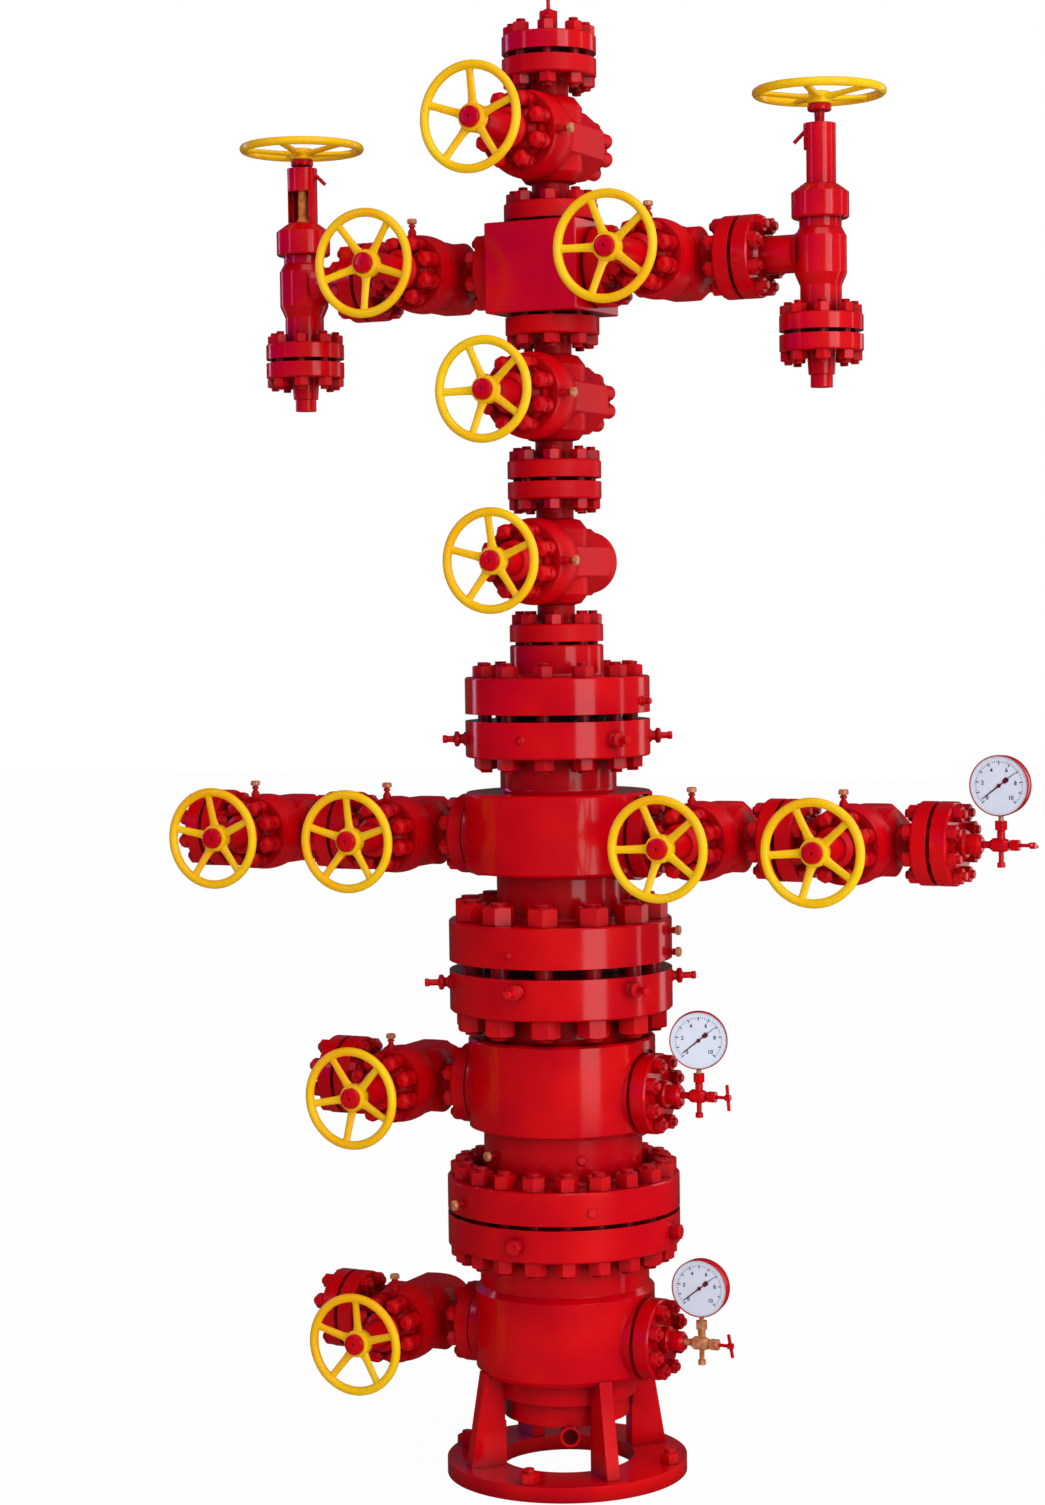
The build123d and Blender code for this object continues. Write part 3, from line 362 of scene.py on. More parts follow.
def skin_rings(bm, rings, closed=True):
    """Joins rings of points with faces, and closes the ends."""
    rows = [[bm.verts.new(point) for point in ring] for ring in rings]
    size = len(rows[0])
    for lower, upper in zip(rows, rows[1:]):
        for here in range(size):
            there = (here + 1) % size
            bm.faces.new((lower[here], lower[there], upper[there], upper[here]))
    if closed:
        bm.faces.new(reversed(rows[0]))
        bm.faces.new(rows[-1])


def circle(radius, height, sides):
    """Points round the Z axis, from a radius and a height in millimetres."""
    turns = [tau * n / sides for n in range(sides)]
    return [spot(radius * cos(turn), radius * sin(turn), height) for turn in turns]


def turned(name, outline, sides, smooth_angle=35.0, closed=True):
    """A lathe shape about Z from pairs of radius and height, in millimetres. One that isn't
    closed is a ring: its last point joins its first."""
    bm = bmesh.new()
    rings = [circle(radius, height, sides) for radius, height in outline]
    if not closed:
        rings.append(rings[0])
    skin_rings(bm, rings, closed)
    return mesh_from(bm, name, smooth_angle)


def hex_nut(name, flats, height, bore, chamfer=0.07, domed=0.0):
    """A hexagon nut in millimetres, with both ends chamfered by a cone, as heavy nuts are."""
    sides = 36
    bore_chamfer = 1.2
    foot_share = 0.35
    cone_share = 0.4
    half = flats / 2
    flat_end = half * (1 - chamfer * cone_share)
    slope = tan(radians(30)) + domed
    upper, lower = [], []
    for n in range(sides):
        angle = tau * n / sides
        from_flat = (angle + pi / 6) % (pi / 3) - pi / 6
        radius = half / cos(from_flat)
        drop = max(radius - flat_end, 0) * slope
        x, y = radius * cos(angle), radius * sin(angle)
        upper.append(spot(x, y, height - drop))
        lower.append(spot(x, y, drop * foot_share))
    rings = [
        circle(bore, 0, sides),
        circle(flat_end, 0, sides),
        lower,
        upper,
        circle(flat_end, height, sides),
        circle(bore + bore_chamfer, height, sides),
        circle(bore, height - bore_chamfer, sides),
    ]
    bm = bmesh.new()
    skin_rings(bm, rings)
    return mesh_from(bm, name, 24.0)


def stud(name, radius, low, high, pitch, threads):
    """A stud from low to high, in millimetres, with its thread showing at both ends."""
    root = radius - pitch * 0.45
    lower = [(root, low)]
    for n in range(threads):
        start = low + pitch * n
        lower.append((root, start + pitch * 0.1))
        lower += [(radius, start + pitch * 0.55), (radius, start + pitch * 0.65)]
    lower.append((radius, low + pitch * threads))
    upper = [(reach, low + high - height) for reach, height in reversed(lower)]
    return turned(name, lower + upper, 16, 50.0)


# Copies round a circle, made by Geometry Nodes


def ring_tree():
    """Copies of a piece round the Z axis, each turned on its own axis, all of one material."""
    tree = bpy.data.node_groups.new("copies_round_a_circle", "GeometryNodeTree")
    face = tree.interface
    face.new_socket("Geometry", in_out="OUTPUT", socket_type="NodeSocketGeometry")
    for name, kind in (
        ("Piece", "NodeSocketObject"),
        ("Count", "NodeSocketInt"),
        ("Circle Radius", "NodeSocketFloat"),
        ("First Angle", "NodeSocketFloat"),
        ("Own Turn", "NodeSocketFloat"),
        ("Seed", "NodeSocketInt"),
        ("Finish", "NodeSocketMaterial"),
    ):
        face.new_socket(name, in_out="INPUT", socket_type=kind)
    given = add_node(tree, "NodeGroupInput")
    piece = add_node(tree, "GeometryNodeObjectInfo", {"Object": given["Piece"]})
    points = add_node(tree, "GeometryNodePoints", {"Count": given["Count"]})
    index = add_node(tree, "GeometryNodeInputIndex")
    share = add_node(
        tree, "ShaderNodeMath", {0: index["Index"], 1: given["Count"]}, operation="DIVIDE"
    )
    angle = add_node(
        tree,
        "ShaderNodeMath",
        {0: share[0], 1: tau, 2: given["First Angle"]},
        operation="MULTIPLY_ADD",
    )
    outward = add_node(tree, "ShaderNodeCombineXYZ", {"X": given["Circle Radius"]})
    turned_out = add_node(
        tree,
        "ShaderNodeVectorRotate",
        {"Vector": outward[0], "Angle": angle[0]},
        rotation_type="Z_AXIS",
    )
    placed = add_node(
        tree, "GeometryNodeSetPosition", {"Geometry": points[0], "Position": turned_out[0]}
    )
    random_share = add_node(
        tree, "FunctionNodeRandomValue", {"Seed": given["Seed"]}, data_type="FLOAT"
    )
    own_turn = add_node(
        tree,
        "ShaderNodeMath",
        {0: random_share[1], 1: given["Own Turn"], 2: angle[0]},
        operation="MULTIPLY_ADD",
    )
    rotation = add_node(tree, "ShaderNodeCombineXYZ", {"Z": own_turn[0]})
    copies = add_node(
        tree,
        "GeometryNodeInstanceOnPoints",
        {"Points": placed[0], "Instance": piece["Geometry"], "Rotation": rotation[0]},
    )
    real = add_node(tree, "GeometryNodeRealizeInstances", {"Geometry": copies[0]})
    finished = add_node(
        tree, "GeometryNodeSetMaterial", {"Geometry": real[0], "Material": given["Finish"]}
    )
    add_node(tree, "NodeGroupOutput", {"Geometry": finished[0]})
    return tree


copies_tree = ring_tree()


def evaluated_mesh(holder):
    """The mesh that an object's curve or modifiers make."""
    bpy.context.scene.collection.objects.link(holder)
    evaluated = holder.evaluated_get(bpy.context.evaluated_depsgraph_get())
    return bpy.data.meshes.new_from_object(evaluated)


def copies_round(mesh, count, radius, first_angle, finish, own_turn=0.0, seed=1):
    """The mesh copied round the Z axis. The radius is in millimetres and angles in degrees."""
    pattern = bpy.data.objects.new("pattern_piece", mesh)
    bpy.context.scene.collection.objects.link(pattern)
    carrier = bpy.data.objects.new("pattern_carrier", bpy.data.meshes.new("pattern_carrier"))
    modifier = carrier.modifiers.new("copies", "NODES")
    modifier.node_group = copies_tree
    settings = {
        "Piece": pattern,
        "Count": count,
        "Circle Radius": radius * mm,
        "First Angle": radians(first_angle),
        "Own Turn": radians(own_turn),
        "Seed": seed,
        "Finish": finish,
    }
    for item in copies_tree.interface.items_tree:
        if item.in_out == "INPUT":
            modifier[item.identifier] = settings[item.name]
    result = evaluated_mesh(carrier)
    carrier.modifiers.remove(modifier)
    bpy.data.objects.remove(carrier)
    bpy.data.objects.remove(pattern)
    return result


def aim(place, out):
    """The matrix that puts a shape's Z axis along out, with its X axis to the right, or to the
    back where out itself points sideways."""
    z = Vector(out).normalized()
    across = (1, 0, 0) if abs(z.x) < 0.9 else (0, 1, 0)
    y = z.cross(Vector(across)).normalized()
    x = y.cross(z)
    matrix = Matrix((x, y, z)).transposed().to_4x4()
    matrix.translation = place
    return matrix


def gather(name, placed, body, finish, replaced=()):
    """One piece from meshes and their matrices, riding on one body."""
    bm = bmesh.new()
    for mesh, matrix in placed:
        copy = mesh.copy()
        copy.transform(matrix)
        bm.from_mesh(copy)
        bpy.data.meshes.remove(copy)
    result = bpy.data.meshes.new(name)
    bm.to_mesh(result)
    bm.free()
    result.materials.append(finish)
    piece = bpy.data.objects.new(name, result)
    bpy.context.scene.collection.objects.link(piece)
    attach(piece, body)
    if replaced:
        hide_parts(*replaced)


# Studs and nuts of the flanged joints

# For each size of flange: number of studs, radius of their circle, nut across flats, nut height
# and stud radius, in millimetres
stud_sizes = {
    "side": (8, 82.55, 36.5, 22.0, 11.1),
    "main": (8, 95.25, 41.3, 25.4, 12.7),
    "nine": (12, 196.85, 50.0, 29.0, 15.9),
    "eleven": (12, 241.3, 74.6, 47.6, 23.8),
    "thirteen": (20, 266.7, 55.6, 35.0, 17.5),
}
flange_thickness = {"side": 44.0, "main": 48.0, "nine": 97.0, "eleven": 108.0, "thirteen": 87.0}
stud_pitch = 3.2
stud_threads = 3
stud_end = 9.0
tapped_depth = 8.0
hexagon_turn = 60.0
second_row_seeds = 50
nut_meshes = {
    size: hex_nut(f"nut_{size}", flats, height, stud_radius * 0.9)
    for size, (count, radius, flats, height, stud_radius) in stud_sizes.items()
}


def flanged_joint(size, place, out, gap, seed, tapped=None):
    """Studs of the joint whose gap lies between two distances along out, in millimetres, with
    nuts outside both flanges. The tapped side, below or above, takes the studs with no nuts."""
    count, radius, flats, height, stud_radius = stud_sizes[size]
    thick = flange_thickness[size]
    first = 180 / count
    matrix = aim(place, out)
    low = gap[0] - (tapped_depth if tapped == "below" else thick)
    high = gap[1] + (tapped_depth if tapped == "above" else thick)
    low_end = low if tapped == "below" else low - height - stud_end
    high_end = high if tapped == "above" else high + height + stud_end
    rods = stud(f"studs_{size}", stud_radius, low_end, high_end, stud_pitch, stud_threads)
    made = [(copies_round(rods, count, radius, first, fastener_red), matrix)]
    nuts = nut_meshes[size]
    if tapped != "above":
        row = copies_round(nuts, count, radius, first, fastener_red, hexagon_turn, seed)
        made.append((row, matrix @ Matrix.Translation(spot(0, 0, high))))
    if tapped != "below":
        row_seed = seed + second_row_seeds
        row = copies_round(nuts, count, radius, first, fastener_red, hexagon_turn, row_seed)
        flip = Matrix.Translation(spot(0, 0, low)) @ Matrix.Rotation(pi, 4, "X")
        made.append((row, matrix @ flip))
    return made


def stack_joints(rows):
    """Joints up the stack, each from its size, its gap's heights, its seed and tapped side."""
    made = []
    for size, low, high, seed, tapped in rows:
        made += flanged_joint(size, spot(0, 0, 0), up, (low, high), seed, tapped)
    return made


stack_studs = stack_joints(
    (
        ("thirteen", top("casing_head"), bottom("casing_spool"), 3, None),
        ("eleven", top("casing_spool"), bottom("tubing_head"), 4, None),
        ("nine", top("tubing_head"), bottom("tree_adapter"), 5, None),
    )
)
tree_studs = stack_joints(
    (
        ("main", top("tree_adapter"), bottom("lower_master_valve"), 6, "below"),
        ("main", top("lower_master_valve"), bottom("upper_master_valve"), 7, None),
        ("main", top("upper_master_valve"), bottom("cross_block"), 8, "above"),
        ("main", top("cross_block"), bottom("swab_valve"), 9, "below"),
        ("main", top("swab_valve"), bottom("tree_cap"), 10, None),
    )
)

# Distances of the arms' joints from the stack's axis
arm_gap = 6.0
outlet_gap = 5.0
block_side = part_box("cross_block")[1].x / mm
wing_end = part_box("wing_valves")[1].x / mm
valve_start = -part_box("casing_valves")[1].x / mm
valve_end = -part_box("casing_valves")[0].x / mm
arm_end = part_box("tubing_head_valves")[1].x / mm
at_outlet = (valve_start - outlet_gap, valve_start)
after_valve = (valve_end, valve_end + arm_gap)
# Height, gap, step of the seed and tapped side of each joint that both sides have
arm_joints = (
    (wing_height, (block_side, block_side + arm_gap), 0, "below"),
    (wing_height, (wing_end, wing_end + arm_gap), 1, None),
    (tubing_height, at_outlet, 2, "below"),
    (tubing_height, after_valve, 3, None),
    (tubing_height, (arm_end, arm_end + arm_gap), 4, None),
    (spool_height, at_outlet, 5, "below"),
    (head_height, at_outlet, 5, "below"),
)
choke_gap = (top("choke_end_flanges"), bottom("choke_bodies"))
choke_step = 6
blind_flange_seed = 71
arm_studs = {-1: [], 1: []}
for side, seed in ((-1, 11), (1, 31)):
    for height, gap, step, tapped in arm_joints:
        place = spot(0, 0, height)
        arm_studs[side] += flanged_joint("side", place, (side, 0, 0), gap, seed + step, tapped)
    place = spot(side * chokes["right_choke"][0], 0, 0)
    arm_studs[side] += flanged_joint("side", place, up, choke_gap, seed + choke_step)
for height in (spool_height, head_height):
    place = spot(0, 0, height)
    arm_studs[-1] += flanged_joint("side", place, (-1, 0, 0), after_valve, blind_flange_seed)

gather("stack_flange_studs", stack_studs, "root", fastener_red)
gather("tree_flange_studs", tree_studs, "root", fastener_red)
gather("left_arm_flange_studs", arm_studs[-1], "root", fastener_red)
gather("right_arm_flange_studs", arm_studs[1], "root", fastener_red)

# Bonnet nuts: domed cap nuts, eight to a bonnet

# How far a bonnet's face stands out, and the radius of its circle of nuts
main_bonnet = (218.0, 79.0)
side_bonnet = (180.0, 71.0)
nut_count = 8
first_nut = 22.5
bonnet_nut = hex_nut("bonnet_nut", 38.0, 31.0, 1.5, chamfer=1.1, domed=0.3)
bonnet_nuts = []
for seed, (name, (x, y, z)) in enumerate(gate_valves.items()):
    seat, circle_radius = main_bonnet if name in main_valves else side_bonnet
    row = copies_round(
        bonnet_nut, nut_count, circle_radius, first_nut, cast_red, hexagon_turn, seed
    )
    bonnet_nuts.append((row, aim(spot(x, -seat, z), toward_viewer)))
gather("bonnet_nuts", bonnet_nuts, "root", cast_red)

# Anchor bolts on the base ring

anchor_count = 4
anchor_circle = 284.0
first_anchor = 5.4
ring_face = 40.0
anchor_seed = 90
anchor_nut = hex_nut("anchor_nut", 46.0, 28.0, 13.0, chamfer=0.2)
anchor_stud = stud("anchor_stud", 14.5, -30.0, 38.0, 3.5, stud_threads)
on_ring = aim(spot(0, 0, ring_face), up)
nut_row = copies_round(
    anchor_nut,
    anchor_count,
    anchor_circle,
    first_anchor,
    fastener_red,
    hexagon_turn,
    anchor_seed,
)
stud_row = copies_round(anchor_stud, anchor_count, anchor_circle, first_anchor, fastener_red)
anchors = [(nut_row, on_ring), (stud_row, on_ring)]
gather("anchor_bolts", anchors, "root", fastener_red)

# Lockdown screws, ports and plugs, each pointing out of its flange or neck


def pointing_out(mesh):
    """A lathe shape turned from the Z axis to the X axis, to stand out of a round wall."""
    mesh.transform(Matrix.Rotation(pi / 2, 4, "Y"))
    return mesh


def screw_mesh(length):
    """A lockdown screw: its gland neck, its gland ring, and the screw's rod with a thicker end."""
    outline = [
        (18.0, -6.0), (18.5, 1.0), (17.0, 4.0), (13.0, 7.0), (12.0, 12.0),
        (13.0, 15.0), (18.5, 17.5), (20.0, 20.0), (20.0, 26.0), (18.0, 28.5),
        (11.0, 30.0), (8.5, 33.0), (8.5, length - 12.0), (10.5, length - 10.0),
        (10.5, length - 1.5), (9.0, length), (4.0, length),
    ]
    return pointing_out(turned("lockdown_screw", outline, 28))


def plug_mesh(radius, length):
    """A round plug on a wider foot."""
    outline = [
        (radius + 3.0, -6.0), (radius + 3.0, 0.5), (radius, 3.0),
        (radius, length - 1.5), (radius - 1.5, length), (2.0, length),
    ]
    return pointing_out(turned("port_plug", outline, 24))


# Radii of the flanges' rims and of the necks under the casing spool's and tubing head's barrels
nine_rim = 241.3
eleven_rim = 292.0
thirteen_rim = 305.0
spool_neck = 208.0
tubing_neck = 165.0
# Heights of both ends of the barrels, and of the rows of screws and ports
spool_barrel = (920.0, 1154.0)
tubing_barrel = (1586.0, 1793.0)
nine_row = top("tubing_head") - flange_thickness["nine"] * 0.5
eleven_row = top("casing_spool") - flange_thickness["eleven"] * 0.3
thirteen_row = top("casing_head") - flange_thickness["thirteen"] * 0.5
spool_neck_ports = 855.0
thirteen_ports = bottom("casing_spool") + flange_thickness["thirteen"] * 0.4
eleven_ports = bottom("tubing_head") + flange_thickness["eleven"] / 3
nine_port = bottom("tree_adapter") + 32.3
test_screw = pointing_out(hex_nut("test_screw", 36.0, 26.0, 8.0, chamfer=0.3))
all_round = (-88.0, 2.0, 92.0, 182.0)
# Mesh, radius of the wall, height, and angles round the stack of each row
screw_rows = (
    (screw_mesh(60.0), nine_rim, nine_row, (-28.0, 32.0, 92.0, 152.0, 212.0)),
    (screw_mesh(66.0), eleven_rim, eleven_row, (-27.0, 33.0, 93.0, 153.0, 213.0, 273.0)),
    (test_screw, thirteen_rim, thirteen_row, all_round),
    (plug_mesh(9.0, 14.0), thirteen_rim, thirteen_row, all_round),
    (plug_mesh(9.0, 3.0), nine_rim, nine_row, (-88.0,)),
    (plug_mesh(11.0, 5.0), spool_neck, spool_neck_ports, (-51.5,)),
    (plug_mesh(11.0, 5.0), thirteen_rim, thirteen_ports, (-51.0,)),
    (plug_mesh(7.0, 4.0), eleven_rim, eleven_ports, (-92.0,)),
    (plug_mesh(11.0, 10.0), nine_rim, nine_port, (0.0,)),
    (plug_mesh(8.0, 26.0), nine_rim, nine_port, (0.0,)),
)
screws = []
for mesh, radius, height, angles in screw_rows:
    place = Matrix.Translation(spot(0, 0, height))
    for angle in angles:
        screws.append((copies_round(mesh, 1, radius, angle, fastener_red), place))
gather(
    "lockdown_screws_turned", screws, "root", fastener_red, ("lockdown_screws",)
)

# Grease fittings of the valves and heads: a painted neck under a round cap of turned brass

fitting_neck = turned(
    "fitting_neck",
    [(8.5, -3.0), (8.5, 4.0), (6.0, 6.0), (6.0, 9.0), (9.0, 10.0), (9.0, 15.0), (6.0, 17.0)],
    24,
)
fitting_cap = turned(
    "fitting_cap",
    [
        (5.5, 15.0), (5.5, 17.5), (10.5, 18.5), (12.5, 20.0), (12.8, 22.0), (12.8, 27.0),
        (12.0, 30.0), (9.5, 31.6), (3.0, 32.0),
    ],
    24,
)
# On the main valves they stand at the right of the front flange, and on the others on top of it
beside_flange = 116.0
main_reach = 175.0
above_flange = 108.0
side_reach = 137.0
fitting_places = []
for name, (x, y, z) in gate_valves.items():
    if name in main_valves:
        fitting_places.append(aim(spot(beside_flange, -main_reach, z), to_the_right))
    else:
        fitting_places.append(aim(spot(x, -side_reach, z + above_flange), up))
for radius, angle, height in (
    (spool_neck, -122.0, spool_neck_ports),
    (thirteen_rim, -123.0, thirteen_ports),
    (eleven_rim, 10.0, eleven_ports - 14.0),
    (eleven_rim, 10.0, eleven_ports + 42.0),
):
    out = Vector((cos(radians(angle)), sin(radians(angle)), 0))
    fitting_places.append(aim(out * radius * mm + spot(0, 0, height), out))
necks = [(fitting_neck, matrix) for matrix in fitting_places]
caps = [(fitting_cap, matrix) for matrix in fitting_places]
gather("fitting_necks", necks, "root", red_enamel, ("grease_fittings",))
gather("fitting_caps", caps, "root", brass, ("grease_fittings",))

# Fillets where the necks meet their flanges and barrels


def fillet_mesh(neck, size, sides):
    """A concave ring in the corner between a neck along Z and the face at its foot."""
    steps = 7
    sunk_in_neck = 2.0
    sunk_in_face = 1.0
    outline = [(neck - sunk_in_neck, -sunk_in_face), (neck + size, -sunk_in_face)]
    for n in range(steps + 1):
        lean = pi / 2 * n / steps
        outline.append((neck + size * (1 - sin(lean)), size * (1 - cos(lean))))
    outline.append((neck - sunk_in_neck, size))
    return turned("neck_fillet", outline, sides, 60.0, closed=False)


# Neck radius, face height and fillet size of each corner on the stack, in millimetres
corners_above = (
    (spool_neck, bottom("casing_spool") + flange_thickness["thirteen"], 12.0),
    (198.0, spool_barrel[1], 12.0),
    (tubing_neck, bottom("tubing_head") + flange_thickness["eleven"], 14.0),
    (152.0, tubing_barrel[1], 12.0),
    (122.0, bottom("tree_adapter") + flange_thickness["nine"], 10.0),
)
corners_below = (
    (222.0, top("casing_head") - flange_thickness["thirteen"], 9.0),
    (spool_neck, spool_barrel[0], 14.0),
    (198.0, top("casing_spool") - flange_thickness["eleven"], 6.0),
    (tubing_neck, tubing_barrel[0], 14.0),
    (152.0, top("tubing_head") - flange_thickness["nine"], 10.0),
)
fillets = []
for corners, out in ((corners_above, up), (corners_below, down)):
    for neck, height, size in corners:
        fillets.append((fillet_mesh(neck, size, 160), aim(spot(0, 0, height), out)))
# On a gate valve they lie round both necks, against the faces that look along its bore
valve_fillet = 11.0
for name, (x, y, z) in gate_valves.items():
    if name in main_valves:
        neck, face, along = 49.0, 161.0, Vector(up)
    else:
        neck, face, along = 46.0, 155.0, Vector(to_the_right)
    corner = fillet_mesh(neck, valve_fillet, 72)
    for side in (-1, 1):
        place = spot(x, 0, z) + along * (side * face * mm)
        fillets.append((corner, aim(place, along * -side)))
gather("neck_fillets", fillets, "root", red_enamel)

# Hand wheels


def between(ends, share):
    """The value at a share of the way from the first of two ends to the second."""
    return ends[0] + (ends[1] - ends[0]) * share


def spoke_mesh(hub_radius, rim_radius, dish, widths, thicknesses):
    """One cast spoke along X, in millimetres, from inside the hub to the rim, flared at both
    ends. Its half widths and half thicknesses are given at the hub and at the rim."""
    sides = 20
    stations = 15
    hub_flare_end = 0.3
    rim_flare_start = 0.78
    rings = []
    for n in range(stations):
        share = n / (stations - 1)
        near_hub = max(0.0, 1 - share / hub_flare_end) ** 2
        near_rim = max(0.0, (share - rim_flare_start) / (1 - rim_flare_start)) ** 2
        width = between(widths, share) * (1 + 0.75 * near_hub + 0.65 * near_rim)
        thickness = between(thicknesses, share) * (1 + 0.5 * near_hub + 0.35 * near_rim)
        x = between((hub_radius * 0.6, rim_radius), share)
        z = -dish * (1 - share) ** 1.15
        leans = [tau * k / sides for k in range(sides)]
        rings.append([spot(x, width * cos(lean), z + thickness * sin(lean)) for lean in leans])
    bm = bmesh.new()
    skin_rings(bm, rings)
    return mesh_from(bm, "wheel_spoke", 60.0)


def rim_mesh(radius, thickness, sides=96, around=20):
    """The wheel's rim: a round bar bent into a ring."""
    leans = [tau * k / around for k in range(around)]
    outline = [(radius + thickness * cos(lean), thickness * sin(lean)) for lean in leans]
    return turned("wheel_rim", outline, sides, 60.0, closed=False)


# One spoke's angle for each wheel, in degrees, as the wheels were left
first_spokes = {
    "lower_master": 93.0,
    "upper_master": 110.0,
    "swab": 90.0,
    "left_wing": 270.0,
    "right_wing": 108.0,
    "left_inner": 90.0,
    "left_outer": 96.0,
    "right_inner": 110.0,
    "right_outer": 112.0,
    "casing_spool": 118.0,
    "casing_head": 88.0,
}
spoke_count = 5
wide_wheels = ("swab", "left_wing", "right_wing")
narrow_radius = 133.0
wide_radius = 138.0
rim_bar = 11.3


def gate_wheel(radius):
    """The spoke and the rim of a gate valve's wheel."""
    middle = radius - rim_bar
    return spoke_mesh(36.0, middle, 18.0, (11.0, 9.0), (7.5, 6.5)), rim_mesh(middle, rim_bar)


narrow_wheel = gate_wheel(narrow_radius)
wide_wheel = gate_wheel(wide_radius)
gate_hub = turned(
    "wheel_hub",
    [
        (14.0, -35.0), (30.0, -35.0), (33.5, -33.5), (35.5, -29.0), (36.0, -22.0),
        (36.0, -12.0), (35.0, -5.0), (33.0, -2.0), (30.0, -1.0), (14.0, -1.0),
    ],
    40,
    closed=False,
)
gate_stem = turned("wheel_stem", [(13.0, -76.0), (13.0, -1.5), (12.0, -1.0)], 28)
gate_nut = turned(
    "wheel_nut",
    [
        (27.0, -1.0), (27.3, 1.0), (27.0, 6.0), (25.6, 9.4), (23.0, 11.0), (16.0, 11.6),
        (8.0, 11.9), (4.5, 11.9), (4.0, 11.4), (3.0, 8.5), (1.0, 8.0),
    ],
    36,
)


def gather_wheel(name, matrix, spoke, rim, hub, first_angle):
    """A hand wheel of five spokes, in the place of its node."""
    spokes = copies_round(spoke, spoke_count, 0.0, first_angle, yellow_enamel)
    gather(
        f"{name}_hand_wheel",
        [(spokes, matrix), (rim, matrix), (hub, matrix)],
        f"{name}_wheel",
        yellow_enamel,
        (f"{name}_wheel",),
    )


for name, (x, y, z) in gate_valves.items():
    matrix = aim(spot(x, y, z), toward_viewer)
    spoke, rim = wide_wheel if name in wide_wheels else narrow_wheel
    gather_wheel(name, matrix, spoke, rim, gate_hub, first_spokes[name])
    gather(
        f"{name}_stem_and_nut",
        [(gate_stem, matrix), (gate_nut, matrix)],
        f"{name}_wheel",
        red_enamel,
    )

choke_ring = 156.0
choke_bar = 11.0
choke_spoke = spoke_mesh(30.0, choke_ring, 14.0, (11.5, 9.5), (7.0, 6.0))
choke_rim = rim_mesh(choke_ring, choke_bar, 112)
choke_hub = turned(
    "choke_wheel_hub",
    [
        (13.3, -29.0), (27.0, -29.0), (29.5, -27.0), (30.0, -22.0), (30.0, -7.0),
        (28.5, -2.0), (25.0, 1.0), (13.3, 1.0),
    ],
    40,
    closed=False,
)
# Stem of a choke, from its foot up: a bell-shaped tip, then a thread that ends above the collar.
# It is bare bronze in its window and painted red above it
stem_tip = [(13.0, 0.0), (15.0, 6.0), (22.0, 17.0), (22.0, 34.0), (18.0, 40.0), (12.8, 51.0)]
thread_root = 11.6
thread_crest = 12.9
thread_pitch = 4.0
crest_start = 1.6
crest_end = 2.2
thread_start = 58.0
bare_threads = 18
painted_threads = 12
paint_start = thread_start + thread_pitch * bare_threads


def thread_outline(first, count):
    """The outline of a number of threads, from one height up."""
    outline = []
    for n in range(count):
        foot = first + thread_pitch * n
        crest = [(thread_crest, foot + crest_start), (thread_crest, foot + crest_end)]
        outline += [(thread_root, foot), *crest]
    return outline


bare_outline = [*stem_tip, *thread_outline(thread_start, bare_threads), (thread_root, paint_start)]
painted_outline = thread_outline(paint_start, painted_threads)
plain_end = [(thread_crest, 182.0), (thread_crest, 236.0), (11.5, 238.0)]
choke_stem = turned("choke_stem", bare_outline, 32, 50.0)
choke_stem_end = turned("choke_stem_end", painted_outline + plain_end, 32, 50.0)
choke_collar = turned(
    "choke_collar",
    [
        (12.0, 190.0), (27.5, 190.0), (29.6, 192.0), (30.0, 195.0), (30.0, 203.5),
        (29.0, 206.5), (26.0, 207.7), (12.0, 207.7),
    ],
    40,
    closed=False,
)
first_choke_spoke = 60.0
for name, (x, y, z) in chokes.items():
    on_wheel = aim(spot(x, y, top(f"{name}_wheel") - choke_bar), up)
    gather_wheel(name, on_wheel, choke_spoke, choke_rim, choke_hub, first_choke_spoke)
    at_foot = aim(spot(x, y, bottom(f"{name}_stem")), up)
    gather(
        f"{name}_threaded_stem",
        [(choke_stem, at_foot)],
        f"{name}_stem",
        bronze,
        (f"{name}_stem",),
    )
    gather(
        f"{name}_stem_collar",
        [(choke_collar, at_foot), (choke_stem_end, at_foot)],
        f"{name}_stem",
        red_enamel,
    )

# Pressure gauges: case and bezel, dial plate, printed scale and pointer

gauge_case = turned(
    "gauge_case",
    [
        (14.0, -21.0), (66.0, -21.0), (72.0, -18.5), (73.5, -14.0), (73.5, 8.0), (74.8, 9.0),
        (75.0, 12.0), (75.0, 17.0), (74.5, 19.0), (73.6, 19.8), (72.7, 19.4), (72.3, 18.0),
        (72.2, 15.0), (14.0, 15.0),
    ],
    96,
    closed=False,
)
dial_face = 15.6
dial_back = 14.4
dial_plate = turned(
    "dial_plate",
    [(2.0, dial_face), (72.0, dial_face), (72.0, dial_back), (2.0, dial_back)],
    72,
)


def thin_plates(name, outlines, lift):
    """Flat plates that stand out of the dial's face by a lift, in millimetres."""
    sunk = 0.1
    bm = bmesh.new()
    for outline in outlines:
        levels = (dial_face - sunk, dial_face + lift)
        skin_rings(bm, [[spot(p.x, p.y, level) for p in outline] for level in levels])
    return mesh_from(bm, name)


def bar_along(angle, start, end, start_half, end_half):
    """The outline of a bar along a radius of the dial, from its reaches and half widths."""
    out = Vector((cos(radians(angle)), sin(radians(angle))))
    side = Vector((-out.y, out.x))
    near = [out * start - side * start_half, out * end - side * end_half]
    far = [out * end + side * end_half, out * start + side * start_half]
    return near + far


